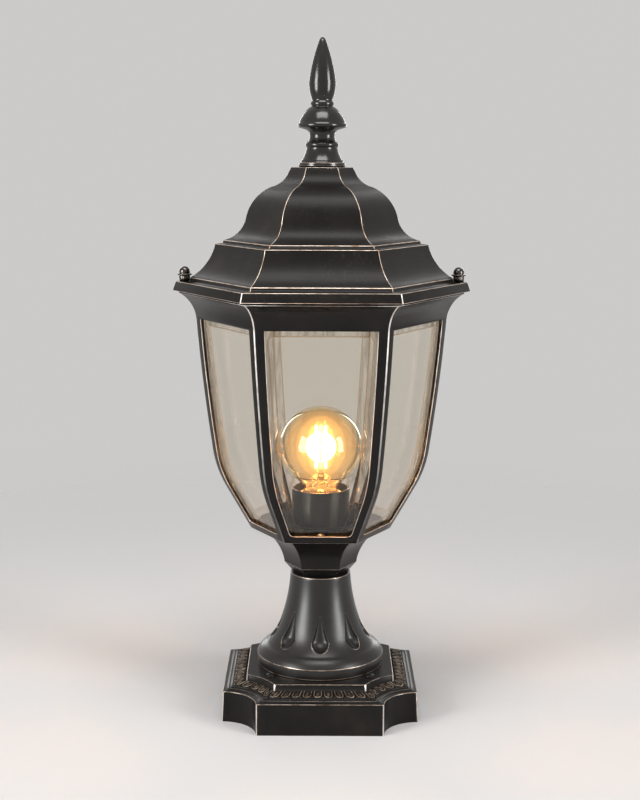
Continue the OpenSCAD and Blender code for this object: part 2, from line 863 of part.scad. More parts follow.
module glass_pane(index) {
    low = pane_foot_z + pane_bevel_w;
    high = pane_top_z - pane_bevel_w;
    levels = bends_between(low, high);
    rows = concat(
        [pane_row(pane_foot_z, pane_edge_t)],
        [for (z = levels) pane_row(z, pane_t)],
        [pane_row(pane_top_z, pane_edge_t)]
    );
    last = 6 * (len(rows) - 1);
    sides = [
        for (i = [0:len(rows) - 2], j = [0:5])
            let (a = 6 * i + j, b = 6 * i + (j + 1) % 6)
            each [[a, a + 6, b + 6], [a, b + 6, b]]
    ];
    ends = [for (j = [1:4]) each [[0, j, j + 1], [last, last + j + 1, last + j]]];
    color(clear)
        rotate([0, 0, 60 * (index - 1)])
            polyhedron(
                points = [for (row = rows, p = row) p],
                faces = concat(sides, ends)
            );
}

module pane_clips() {
    color(brass)
        at_corners(6, clip_d - clip_t)
            difference() {
                translate([0, -clip_w / 2, clip_z + 4 - clip_h])
                    cube([clip_t, clip_w, clip_h]);
                translate([-eps, 0, clip_z])
                    rotate([0, 90, 0])
                        cylinder(r = clip_screw_r + screw_gap, h = clip_t + 2 * eps);
            }
}

module clip_screws() {
    color(steel)
        at_corners(6, clip_d - clip_t)
            translate([0, 0, clip_z])
                rotate([0, 90, 0]) {
                    translate([0, 0, -1.4])
                        cylinder(r = 1.9 * clip_screw_r, h = 1.4);
                    translate([0, 0, -eps / 2])
                        cylinder(r = clip_screw_r, h = 6);
                }
}

// Lampholder

module holder_sleeve() {
    color([0.05, 0.05, 0.05])
        difference() {
            turned(concat(
                bow([sleeve_r - 2, sleeve_z], [sleeve_r, sleeve_z + 2], -0.58),
                [[sleeve_r, sleeve_top_z - 0.5], [sleeve_r - 0.5, sleeve_top_z]]
            ));
            translate([0, 0, sleeve_z - eps])
                cylinder(r = holder_r + 0.3, h = 2 * eps + sleeve_wall);
            translate([0, 0, sleeve_z + sleeve_wall])
                cylinder(r = sleeve_r - sleeve_wall, h = sleeve_h);
        }
}

holder_top_z = sleeve_top_z - 5;
shell_top_z = holder_top_z - 1;
shell_foot_z = shell_top_z - shell_h;
cap_foot_z = shell_foot_z + 1.2;
bulb_cap_top_z = cap_foot_z + bulb_cap_h;

module holder_body() {
    color("white")
        difference() {
            translate([0, 0, holder_z])
                cylinder(r = holder_r, h = holder_top_z - holder_z);
            translate([0, 0, shell_foot_z])
                cylinder(r = shell_r + shell_t + 0.1, h = shell_h + 2 * eps);
            translate([0, 0, shell_foot_z - 4])
                cylinder(r = 8, h = 4 + eps);
            translate([0, 0, holder_z - eps])
                cylinder(r = tube_r + 0.1, h = tube_top_z - holder_z + 1.5);
            cylinder(r = 3, h = shell_foot_z);
        }
}

module screw_shell() {
    color(brass)
        translate([0, 0, shell_foot_z])
            difference() {
                cylinder(r = shell_r + shell_t, h = shell_h);
                translate([0, 0, -eps])
                    cylinder(r = shell_r, h = shell_h + 2 * eps);
            }
}

module centre_contact() {
    color(brass) {
        translate([-7, -2.5, shell_foot_z - 4])
            cube([5, 5, 0.8]);
        translate([-3, -2.5, shell_foot_z - 4])
            cube([0.8, 5, 3]);
        translate([-3, -2.5, shell_foot_z - 1.8])
            cube([6, 5, 0.8]);
    }
}

// Bulb

bulb_neck_z = sleeve_top_z + 0.4;
globe_turn = 44;

// The glass outline, from the cap's mouth up round the globe, drawn in by t
function globe_edge(t) =
    let (g = globe_r - t, low = [g * cos(globe_turn), globe_z - g * sin(globe_turn)])
    concat(
        [[bulb_neck_r - t, bulb_cap_top_z - 3]],
        bow([bulb_neck_r - t, bulb_neck_z - 2], low, 1.6),
        [for (a = [-globe_turn + 9:9:82]) [g * cos(a), globe_z + g * sin(a)]],
        [[0, globe_z + g]]
    );

module bulb_glass() {
    color(amber)
        rotate_extrude()
            polygon(concat(globe_edge(0), [
                for (edge = [globe_edge(bulb_glass_t)], i = [len(edge) - 1:-1:0]) edge[i]
            ]));
}

stem_top_z = globe_z - filament_l / 2 - 3;

module bulb_stem() {
    color(clear)
        turned(concat(
            [[bulb_neck_r - bulb_glass_t - 0.3, bulb_cap_top_z - 2.5]],
            bow([bulb_neck_r - bulb_glass_t - 1.2, bulb_cap_top_z], [3.2, bulb_cap_top_z + 7], 2),
            [[2.4, stem_top_z - 1], [1.6, stem_top_z], [1.6, globe_z + filament_l / 2]]
        ));
}

module bulb_filaments() {
    color("gold")
        for (i = [0:filaments - 1])
            rotate([0, 0, 45 + 360 / filaments * i]) {
                translate([filament_ring_r, 0, globe_z - filament_l / 2])
                    cylinder(r = filament_r, h = filament_l);
                translate([1.7, -0.3, globe_z + filament_l / 2 - 1])
                    cube([filament_ring_r - filament_r - 1.8, 0.6, 0.6]);
            }
}

module bulb_cap() {
    color(brass)
        translate([0, 0, cap_foot_z + 3])
            difference() {
                cylinder(r = bulb_cap_r, h = bulb_cap_h - 3);
                translate([0, 0, -eps])
                    cylinder(r = bulb_neck_r + 0.1, h = bulb_cap_h + 2 * eps);
            }
}

module bulb_insulator() {
    color([0.1, 0.1, 0.12])
        turned([
            [6, cap_foot_z + 0.2],
            [bulb_cap_r - 0.3, cap_foot_z + 3],
            [bulb_neck_r - 0.2, cap_foot_z + 3],
            [bulb_neck_r - 0.2, cap_foot_z + 6]
        ]);
}

module bulb_tip() {
    color(steel)
        translate([0, 0, cap_foot_z - 1.9])
            cylinder(r = 4.6, h = 2.1);
}

// Roof

function roof_edge() = concat(
    [
        [eave_r, roof_z],
        [eave_r - eave_lean, roof_z + eave_h],
        [lower_foot_r + 0.4, roof_z + eave_h],
        [lower_foot_r, roof_z + eave_h + tier_step_h]
    ],
    bow([lower_foot_r - 0.6, roof_z + eave_h + tier_step_h + 0.5],
        [lower_top_r + 0.2, roof_z + lower_top_h - 1.2], 2.7),
    [
        [lower_top_r, roof_z + lower_top_h],
        [upper_foot_r + 1, roof_z + lower_top_h + 0.6],
        [upper_foot_r + 0.6, roof_z + lower_top_h + tier_step_h]
    ],
    bow([upper_foot_r - 1.5, roof_z + lower_top_h + tier_step_h + 0.6], [ogee_r, roof_z + ogee_h], 2.7),
    bow([ogee_r, roof_z + ogee_h], [crown_r, roof_z + crown_h], -3.7, 2 * arc_steps),
    bow([crown_r, roof_z + crown_h], [cap_r + 0.8, finial_z - 2.6], 2.1),
    [[cap_r - 0.6, finial_z]]
);

module roof() {
    color(paint)
        difference() {
            hex_solid(roof_edge());
            intersection() {
                hex_solid(concat(
                    [[eave_r, roof_z - 2 * eps]],
                    shelled([for (i = [1:len(roof_edge()) - 1]) roof_edge()[i]], roof_wall)
                ));
                hex_solid([[seat_r, roof_z - eps], [seat_r, finial_z]]);
            }
            translate([0, 0, finial_z - roof_wall - eps])
                cylinder(r = stud_r + screw_gap, h = roof_wall + 2 * eps);
            at_corners(2, knob_d)
                translate([0, 0, roof_z - eps])
                    cylinder(r = knob_shank_r + screw_gap, h = eave_h + 2 * eps);
        }
}

// Knob screws

knob_seat_z = roof_z + eave_h;
knob_stem_r = 2.9;
knob_stem_h = 2.7;
knob_collar_z = knob_seat_z + knob_stem_h + 1.9;
knob_collar_r = 5.3;
knob_ball_r = 4.4;

module roof_screw(side) {
    color(paint)
        translate([side * knob_d, 0, 0])
            turned(concat(
                [
                    [knob_shank_r, roof_z - knob_hole_depth + 0.4],
                    [knob_shank_r, knob_seat_z],
                    [knob_stem_r, knob_seat_z],
                    [knob_stem_r + 0.2, knob_seat_z + knob_stem_h],
                    [knob_collar_r - 0.6, knob_collar_z - 0.4],
                    [knob_collar_r, knob_collar_z],
                    [knob_collar_r, knob_collar_z + 0.7],
                    [knob_ball_r + 0.1, knob_collar_z + 1.3]
                ],
                [for (a = [10:10:80]) [knob_ball_r * cos(a), knob_collar_z + 1.6 + knob_ball_r * sin(a)]]
            ));
}

module roof_screw_left() {
    roof_screw(-1);
}

module roof_screw_right() {
    roof_screw(1);
}

// Finial

// Outline above the finial's foot: bell, ring, neck, drip flange, bell, collar and spear
function finial_edge() = concat(
    [
        [finial_foot_r - 0.5, 0],
        [finial_foot_r, 1.1],
        [finial_foot_r, finial_foot_h - 1.1],
        [finial_foot_r - 1.3, finial_foot_h]
    ],
    bow([finial_foot_r - 1.3, finial_foot_h + 0.3], [finial_ring_r - 0.6, finial_ring_h - 1.9], 0.6),
    bow([finial_ring_r - 0.5, finial_ring_h - 1.7], [finial_ring_r - 0.6, finial_ring_h + 1.7], -0.9),
    bow([finial_ring_r - 1, finial_ring_h + 2.1], [finial_neck_r + 1.9, finial_flange_h - 3.3], 1.8),
    bow([finial_flange_r - 1.2, finial_flange_h - 1.7], [finial_flange_r - 0.8, finial_flange_h + 1.7], -1),
    bow([finial_flange_r - 0.9, finial_flange_h + 1.9], [finial_collar_r + 0.3, finial_collar_h - 2.3], -1.1),
    bow([finial_collar_r - 0.8, finial_collar_h - 1.8], [finial_collar_r - 0.8, finial_collar_h + 1.8], -0.8),
    bow([finial_collar_r - 1.2, finial_collar_h + 2.4], [finial_spear_r, finial_spear_h], -0.7),
    bow([finial_spear_r, finial_spear_h], [2.2, finial_h - 1.7], -0.95),
    [[1.2, finial_h - 0.4], [0.3, finial_h]]
);

stud_up = 15;
stud_down = 9;
stud_nut_h = 5;

module finial() {
    color(paint)
        difference() {
            translate([0, 0, finial_z])
                turned(finial_edge());
            translate([0, 0, finial_z - eps])
                cylinder(r = stud_r + 0.1, h = stud_up + 1 + eps);
        }
}

module finial_stud() {
    color(steel)
        translate([0, 0, finial_z - roof_wall - stud_down])
            cylinder(r = stud_r, h = stud_up + roof_wall + stud_down);
}

module finial_nut() {
    color(steel)
        translate([0, 0, finial_z - roof_wall - stud_nut_h])
            difference() {
                cylinder(r = 1.95 * stud_r, h = stud_nut_h, $fn = 6);
                translate([0, 0, -eps])
                    cylinder(r = stud_r + 0.1, h = stud_nut_h + 2 * eps);
            }
}

mounting_plate();
base();
base_screws();
column();
cup();
threaded_tube();
tube_nuts();
tube_washers();
terminal_block();
terminal_screws();
earth_screw();
cage();
cage_screws();
tray();
tray_screws();
glass_pane(1);  // glass_pane_1
glass_pane(2);  // glass_pane_2
glass_pane(3);  // glass_pane_3
glass_pane(4);  // glass_pane_4
glass_pane(5);  // glass_pane_5
glass_pane(6);  // glass_pane_6
pane_clips();
clip_screws();
holder_sleeve();
holder_body();
screw_shell();
centre_contact();
bulb_glass();
bulb_stem();
bulb_filaments();
bulb_cap();
bulb_insulator();
bulb_tip();
roof();
finial();
finial_stud();
finial_nut();
roof_screw_left();
roof_screw_right();
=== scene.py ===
"""Looks of the pillar lamp, in metres and in the frame of the CAD model.

Lengths in this script are written in millimetres and scaled by MM when a mesh is made.
Corners of the lantern lie on the X axis, the front is -Y, +Z is up.
"""

import json
from math import asin, atan2, cos, hypot, pi, radians, sin, sqrt, tan

import bmesh
import bpy
from mathutils import Matrix, Vector

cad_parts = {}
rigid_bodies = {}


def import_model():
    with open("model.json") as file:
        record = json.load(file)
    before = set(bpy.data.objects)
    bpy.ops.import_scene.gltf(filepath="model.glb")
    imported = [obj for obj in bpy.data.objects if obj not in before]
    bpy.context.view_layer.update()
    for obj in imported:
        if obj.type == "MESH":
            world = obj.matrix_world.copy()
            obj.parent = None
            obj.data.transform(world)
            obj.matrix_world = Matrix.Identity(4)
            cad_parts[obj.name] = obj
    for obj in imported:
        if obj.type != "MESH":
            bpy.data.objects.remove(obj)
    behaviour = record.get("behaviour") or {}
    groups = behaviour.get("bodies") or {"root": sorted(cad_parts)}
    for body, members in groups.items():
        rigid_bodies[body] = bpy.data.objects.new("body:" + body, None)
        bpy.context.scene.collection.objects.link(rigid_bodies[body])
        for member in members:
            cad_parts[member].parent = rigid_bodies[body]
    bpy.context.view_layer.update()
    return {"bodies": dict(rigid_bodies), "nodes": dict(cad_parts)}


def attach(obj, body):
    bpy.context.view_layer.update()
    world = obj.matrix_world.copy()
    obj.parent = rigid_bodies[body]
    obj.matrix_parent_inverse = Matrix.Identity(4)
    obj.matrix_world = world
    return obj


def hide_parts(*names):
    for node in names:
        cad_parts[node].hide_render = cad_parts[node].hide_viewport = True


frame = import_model()

MM = 0.001
FLAT = cos(radians(30))  # a hexagon's flat side over its corner radius
CORNER_TAN = tan(radians(60))

# Heights of the seats
PLATFORM_Z = 31.0
CUP_Z = 99.6
CAGE_Z = 131.9
TRAY_Z = 135.0
SLEEVE_Z = 136.3
SLEEVE_TOP_Z = 163.0
GLOBE_Z = 192.7
ROOF_Z = 306.0
FINIAL_Z = 393.1
TOP_Z = 482.3


# Node trees


class Nodes:
    """A node tree, with short calls to add and link nodes."""

    def __init__(self, owner, output):
        owner.use_nodes = True
        self.owner = owner
        self.tree = owner.node_tree
        self.tree.nodes.clear()
        self.out = self.add(output)

    def feed(self, socket, value):
        """Links an output, or a node's first output, into a socket, or sets it to a value or colour."""
        if isinstance(value, bpy.types.Node):
            value = value.outputs[0]
        if isinstance(value, bpy.types.NodeSocket):
            self.tree.links.new(value, socket)
        else:
            socket.default_value = (*value, 1) if socket.type == "RGBA" else value

    def add(self, kind, **inputs):
        """Adds a shader node and feeds its inputs, whose names are written with _ for a blank."""
        node = self.tree.nodes.new("ShaderNode" + kind)
        for name, value in inputs.items():
            self.feed(node.inputs[name.replace("_", " ")], value)
        return node

    def join(self, kind, *values, **settings):
        """Adds a node with settings, and feeds its first inputs in their order."""
        node = self.add(kind)
        for name, value in settings.items():
            setattr(node, name, value)
        for socket, value in zip(node.inputs, values):
            self.feed(socket, value)
        return node

    def times(self, a, b):
        return self.join("Math", a, b, operation="MULTIPLY")

    def finish(self, shader):
        self.feed(self.out.inputs["Surface"], shader)
        return self.owner


class Paint(Nodes):
    """The nodes of a material, laid out in the object's own coordinates."""

    def __init__(self, name):
        super().__init__(bpy.data.materials.new(name), "OutputMaterial")
        self.coords = self.add("TexCoord").outputs["Object"]

    def stretched(self, scale):
        return self.add("Mapping", Vector=self.coords, Scale=scale).outputs["Vector"]

    def noise(self, scale, detail, rough, stretch=(1, 1, 1), distortion=0.0):
        look = {"Scale": scale, "Detail": detail, "Roughness": rough, "Distortion": distortion}
        return self.add("TexNoise", Vector=self.stretched(stretch), **look).outputs["Fac"]

    def ramp(self, source, *stops):
        """Stops are (place, value) pairs, with a grey level or a colour as the value."""
        node = self.add("ValToRGB", Fac=source)
        elements = node.color_ramp.elements
        elements.remove(elements[1])
        for i, (place, value) in enumerate(stops):
            element = elements[0] if i == 0 else elements.new(place)
            element.position = place
            colour = value if isinstance(value, tuple) else (value, value, value)
            element.color = (*colour, 1)
        return node.outputs["Color"]

    def range(self, source, low, high):
        return self.add("MapRange", Value=source, To_Min=low, To_Max=high).outputs["Result"]

    def blend(self, factor, a, b):
        node = self.join("Mix", data_type="RGBA")
        for name, value in (("Factor", factor), ("A", a), ("B", b)):
            self.feed(node.inputs[name], value)
        return node.outputs["Result"]

    def bump(self, height, strength, distance):
        node = self.add("Bump", Strength=strength, Distance=distance, Height=height)
        return node.outputs["Normal"]

    def principled(self, **inputs):
        return self.add("BsdfPrincipled", **inputs)

    def paint(self, **inputs):
        """The finished material, of one principled shader."""
        return self.finish(self.principled(**inputs))


# Materials

BLACK = (0.0065, 0.0058, 0.0052)
DUSTY = (0.0105, 0.009, 0.0078)
SCUFFED = (0.020, 0.016, 0.0125)
SPECK = (0.07, 0.047, 0.03)
SCRATCH = (0.028, 0.024, 0.021)
SHEEN = 0.13  # specular level of the black: satin, so that it stays dark before a pale background
COPPER = (0.38, 0.235, 0.15)
PALE_GOLD = (0.78, 0.66, 0.56)
CARVED_DARK = (0.10, 0.062, 0.038)
CARVED_GOLD = (0.52, 0.40, 0.29)
UNLIT_SHARE = 0.12  # share of a painted highlight line that is left below its fall-off


def enamel_parts(nodes, low=0.27, high=0.44, marks=0.10):
    """Satin antique black: a cloudy base colour, fine brush marks and grain."""
    clouds = nodes.noise(38, 5, 0.6)
    brush = nodes.noise(46, 4, 0.65, (1, 1, 9), 0.4)
    grain = nodes.noise(900, 3, 0.6)
    colour = nodes.ramp(clouds, (0.32, BLACK), (0.62, DUSTY), (0.85, SCUFFED))
    height = nodes.join("Math", nodes.times(grain, 0.5), nodes.times(brush, 0.5), operation="ADD")
    return colour, nodes.range(brush, low, high), nodes.bump(height, marks, 0.0005)


def enamel(name, low=0.27, high=0.44, sheen=SHEEN, marks=0.10, scratched=False):
    """Antique black, rough from low to high, with a few brown specks and, if asked, faint scratches."""
    nodes = Paint(name)
    colour, rough, normal = enamel_parts(nodes, low, high, marks)
    specks = nodes.ramp(nodes.noise(150, 8, 0.75, (1, 1, 0.55)), (0.66, 0.0), (0.76, 0.35))
    colour = nodes.blend(specks, colour, SPECK)
    if scratched:
        lines = nodes.ramp(nodes.noise(560, 2, 0.5, (1, 1, 0.18), 1.0), (0.59, 0.0), (0.64, 1.0))
        patches = nodes.ramp(nodes.noise(30, 4, 0.6), (0.40, 0.0), (0.66, 0.6))
        colour = nodes.blend(nodes.times(lines, patches), colour, SCRATCH)
    return nodes.paint(Specular_IOR_Level=sheen, Base_Color=colour, Roughness=rough, Normal=normal)


def black_over_metal(nodes, wear_and_highlight, metal_tone, metallic, metal_rough):
    """Antique black that shows metal where wear_and_highlight is 1: rubbed-through wear, and in the silver
    lines a painted highlight.
    """
    colour, rough, normal = enamel_parts(nodes)
    return nodes.paint(
        Specular_IOR_Level=SHEEN,
        Base_Color=nodes.blend(wear_and_highlight, colour, metal_tone),
        Metallic=nodes.times(wear_and_highlight, metallic),
        Roughness=nodes.blend(wear_and_highlight, rough, (metal_rough,) * 3),
        Normal=normal,
    )


def wear_and_highlight_edge(name, cover, dark=COPPER, light=PALE_GOLD, highlight_falloff=None):
    """Edge where the black shows metal: rubbed back to copper gold where worn, and in the silver lines a
    painted highlight. Cover is the share that shows metal.

    highlight_falloff gives two heights in metres, between which the line grows from almost none to whole: a
    painted highlight, bright above and fading out downwards.
    """
    nodes = Paint(name)
    wear_and_highlight = nodes.ramp(nodes.noise(62, 6, 0.7), (0.62 - 0.42 * cover, 0.0), (0.72 - 0.42 * cover, 1.0))
    # Painted light: the line fades out downwards between the two heights.
    if highlight_falloff:
        height = nodes.add("SeparateXYZ", Vector=nodes.coords).outputs["Z"]
        rise = nodes.add("MapRange", Value=height, From_Min=highlight_falloff[0], From_Max=highlight_falloff[1], To_Min=UNLIT_SHARE)
        wear_and_highlight = nodes.times(wear_and_highlight, rise)
    tone = nodes.blend(nodes.ramp(nodes.noise(120, 5, 0.65), (0.34, 0.0), (0.56, 1.0)), dark, light)
    return black_over_metal(nodes, wear_and_highlight, tone, 0.85, 0.34)


def carved_band(name):
    """Carved band: black in the hollows, brushed with gold where it stands out."""
    nodes = Paint(name)
    relief = nodes.join("Attribute", attribute_name="relief").outputs["Fac"]
    high = nodes.ramp(relief, (0.06, 0.0), (0.30, 0.30), (0.50, 1.0))
    patchy = nodes.ramp(nodes.noise(75, 6, 0.7), (0.32, 0.3), (0.56, 1.0))
    shades = nodes.ramp(nodes.noise(260, 5, 0.7), (0.40, 0.0), (0.64, 1.0))
    tone = nodes.blend(shades, CARVED_DARK, CARVED_GOLD)
    return black_over_metal(nodes, nodes.times(high, patchy), tone, 0.8, 0.38)


def metal(name, colour, rough, grain=0.1, wear=0.15):
    """Bare metal, darker by wear in its clouds."""
    nodes = Paint(name)
    return nodes.paint(
        Metallic=1.0,
        Base_Color=nodes.blend(nodes.noise(120, 5, 0.6), tuple(c * (1 - wear) for c in colour), colour),
        Roughness=nodes.range(nodes.noise(300, 3, 0.5), rough - 0.06, rough + 0.08),
        Normal=nodes.bump(nodes.noise(1400, 2, 0.5), grain, 0.0003),
    )


def moulded(name, colour, rough, coat=0.0, grain=0.1, sheen=0.5):
    """Plastic or porcelain, with a clear coat where it is glazed."""
    nodes = Paint(name)
    light = tuple(min(1.0, c * 1.15 + 0.0005) for c in colour)
    return nodes.paint(
        Coat_Weight=coat,
        Coat_Roughness=0.08,
        Specular_IOR_Level=sheen,
        Base_Color=nodes.blend(nodes.noise(90, 5, 0.6), colour, light),
        Roughness=nodes.range(nodes.noise(240, 4, 0.6), rough - 0.06, rough + 0.08),
        Normal=nodes.bump(nodes.noise(1100, 3, 0.6), grain, 0.0004),
    )


def see_through(name, tint, rough, ior=1.47, ripple=0.0, refraction_streaks=None):
    """Clear glass for sight, and clear to lamps, so that light passes through it.

    refraction_streaks is a second tint, which runs up the glass in soft lines: painted light, in place of
    the light a bevel refracts.
    """
    nodes = Paint(name)
    glass = nodes.principled(Transmission_Weight=1.0, IOR=ior, Roughness=rough, Base_Color=tint)
    # Painted light: soft streaks of a second tint on the glass.
    if refraction_streaks:
        lines = nodes.ramp(nodes.noise(260, 3, 0.6, (1, 1, 0.05), 0.3), (0.36, 0.0), (0.64, 1.0))
        nodes.feed(glass.inputs["Base Color"], nodes.blend(lines, tint, refraction_streaks))
    if ripple:
        nodes.feed(glass.inputs["Normal"], nodes.bump(nodes.noise(30, 3, 0.5), ripple, 0.001))
    in_shadow = nodes.add("LightPath").outputs["Is Shadow Ray"]
    clear = nodes.add("BsdfTransparent", Color=tint)
    return nodes.finish(nodes.join("MixShader", in_shadow, glass, clear))


def glowing(name, colour, strength):
    nodes = Paint(name)
    warm = nodes.blend(nodes.noise(400, 2, 0.5), tuple(c * 0.8 for c in colour), colour)
    return nodes.paint(Roughness=0.5, Emission_Strength=strength, Emission_Color=warm, Base_Color=warm)


def painted_glow(name, colour, strength, tint, density):
    """A painted glow: a volume that glows evenly though it is no lamp, and takes the blue out of what is
    behind it.
    """
    nodes = Paint(name)
    light = nodes.add("Emission", Color=colour, Strength=strength)
    shade = nodes.add("VolumeAbsorption", Color=tint, Density=density)
    nodes.feed(nodes.out.inputs["Volume"], nodes.join("AddShader", light, shade))
    return nodes.finish(nodes.add("BsdfTransparent"))


ENAMEL = enamel("antique_black")
WEATHERED = enamel("antique_black_roof", scratched=True)
RIBS = enamel("antique_black_cage", 0.18, 0.30, 0.16, 0.03)
SATIN = enamel("antique_black_column", 0.26, 0.36, 0.46, 0.02)
POLISHED = enamel("antique_black_polished", 0.14, 0.23, 0.50, 0.015)
EDGE = wear_and_highlight_edge("rubbed_gold", 0.9)
SOFT_EDGE = wear_and_highlight_edge("rubbed_gold_faint", 0.72, (0.13, 0.09, 0.065), (0.44, 0.36, 0.30))
# Silver lines on black edges, which stand for highlights there: painted highlights.
SILVER_HIGHLIGHT = wear_and_highlight_edge("rubbed_silver", 1.0, (0.42, 0.36, 0.32), (0.74, 0.68, 0.63))
# The ribs' line: a painted highlight, bright above and fading out downwards.
RIB_HIGHLIGHT = wear_and_highlight_edge("rubbed_rib_line", 1.0, (0.50, 0.44, 0.40), (0.86, 0.82, 0.78), (0.17, 0.29))
BAND = carved_band("rubbed_ornament")
ZINC = metal("zinc_plate", (0.62, 0.63, 0.64), 0.32)
BRASS = metal("plain_brass", (0.80, 0.58, 0.26), 0.28)
CAP = metal("plated_cap", (0.78, 0.68, 0.46), 0.24)
BRONZE = metal("dark_bronze", (0.105, 0.095, 0.087), 0.17, 0.04, 0.4)
LEAD = metal("lead_wire", (0.85, 0.72, 0.5), 0.3)
# A bright metal rim on the black sleeve: a painted highlight of the bulb's light on it.
SLEEVE_RIM_HIGHLIGHT = metal("sleeve_rim", (0.62, 0.52, 0.42), 0.22, 0.02)
SLEEVE = moulded("sleeve_black", (0.004, 0.0036, 0.0034), 0.24, 0.0, 0.002, 0.12)
PORCELAIN = moulded("porcelain", (0.80, 0.79, 0.75), 0.25, 0.6)
TERMINAL = moulded("terminal_ivory", (0.78, 0.75, 0.66), 0.5)
INSULATOR = moulded("insulator_black", (0.02, 0.02, 0.024), 0.15, 0.5)
PANE = see_through("pane_glass", (0.905, 0.865, 0.80), 0.0, 1.40, 0.02)
# Painted light on the panes: the bevel band's brown tint with light streaks stands for light it refracts,
# the cut edges' orange tint for the bulb's warm light on them.
PANE_BAND = see_through("pane_bevel", (0.36, 0.30, 0.235), 0.04, 1.45, 0.0, (0.80, 0.73, 0.63))
PANE_EDGE = see_through("pane_cut_edge", (0.52, 0.33, 0.17), 0.25)
AMBER = see_through("amber_glass", (1.0, 0.88, 0.66), 0.0)
STEM = see_through("stem_glass", (0.99, 0.95, 0.86), 0.05)
FILAMENT = glowing("filament_glow", (1.0, 0.70, 0.36), 60)


# Outlines and profiles


def bow(p, q, sag, steps):
    """Points of an arc from p to q that bows by sag to the left of the way from p to q."""
    (x0, y0), (x1, y1) = p, q
    dx, dy = x1 - x0, y1 - y0
    chord = hypot(dx, dy)
    ux, uy = dx / chord, dy / chord
    vx, vy = -uy, ux
    r = (chord * chord / 4 + sag * sag) / (2 * sag)
    mx, my = (x0 + x1) / 2 + vx * (sag - r), (y0 + y1) / 2 + vy * (sag - r)
    half = asin(chord / 2 / r)
    points = []
    for i in range(steps + 1):
        a = half * (2 * i / steps - 1)
        along, out = sin(a), cos(a)
        points.append((mx + r * (ux * along + vx * out), my + r * (uy * along + vy * out)))
    return points


def arc(r, h, z, degrees):
    """Points (r, z) of a round or oval arc about height z, at angles up from level."""
    return [(r * cos(radians(a)), z + h * sin(radians(a))) for a in degrees]


def marked(*parts, foot=0.0):
    """A profile as (r, z, gold) rows from heights above its foot.

    A part is one such row, gold left out for none, or the points of a bow.
    """
    rows = []
    for part in parts:
        for r, z, *gold in [part] if isinstance(part, tuple) else part:
            rows.append((r, foot + z, gold[0] if gold else 0))
    return rows


def radius_in(rows, z):
    """Radius at height z of a profile of (r, z) rows, held beyond its ends."""
    for (r0, z0), (r1, z1) in zip(rows, rows[1:]):
        if z0 <= z <= z1:
            return r0 + (r1 - r0) * (z - z0) / (z1 - z0)
    return rows[-1][0] if z > rows[-1][1] else rows[0][0]


def lengths_round(points):
    """Length along a closed outline to each point, with the whole length as the last."""
    lengths = [0.0]
    for (x0, y0), (x1, y1) in zip(points, points[1:] + points[:1]):
        lengths.append(lengths[-1] + hypot(x1 - x0, y1 - y0))
    return lengths


def resample(points, count):
    """Evenly spaced points along a closed outline."""
    closed = points + [points[0]]
    lengths = lengths_round(points)
    result, k = [], 0
    for i in range(count):
        s = lengths[-1] * i / count
        while lengths[k + 1] < s:
            k += 1
        t = (s - lengths[k]) / max(lengths[k + 1] - lengths[k], 1e-9)
        (x0, y0), (x1, y1) = closed[k], closed[k + 1]
        result.append((x0 + (x1 - x0) * t, y0 + (y1 - y0) * t))
    return result


def smooth_step(width, x):
    """Rises from 0 to 1 over a width."""
    t = min(max(x / width, 0.0), 1.0)
    return t * t * (3 - 2 * t)


def arch(square):
    """Height of a round arch of radius 1, from the square of the distance to its middle."""
    return sqrt(max(0.0, 1 - square))


# Mesh helpers


def angles(count, turn=0.0):
    return [turn + 2 * pi * i / count for i in range(count)]


def round_ring(r, z, count, turn=0.0, at=(0, 0)):
    return [(at[0] + r * cos(a), at[1] + r * sin(a), z) for a in angles(count, turn)]


def on_side(side, points):
    """Points of the lantern's front side, turned to one of its six sides."""
    turn = Matrix.Rotation(radians(60 * side), 3, "Z")
    return [tuple(turn @ Vector(p)) for p in points]


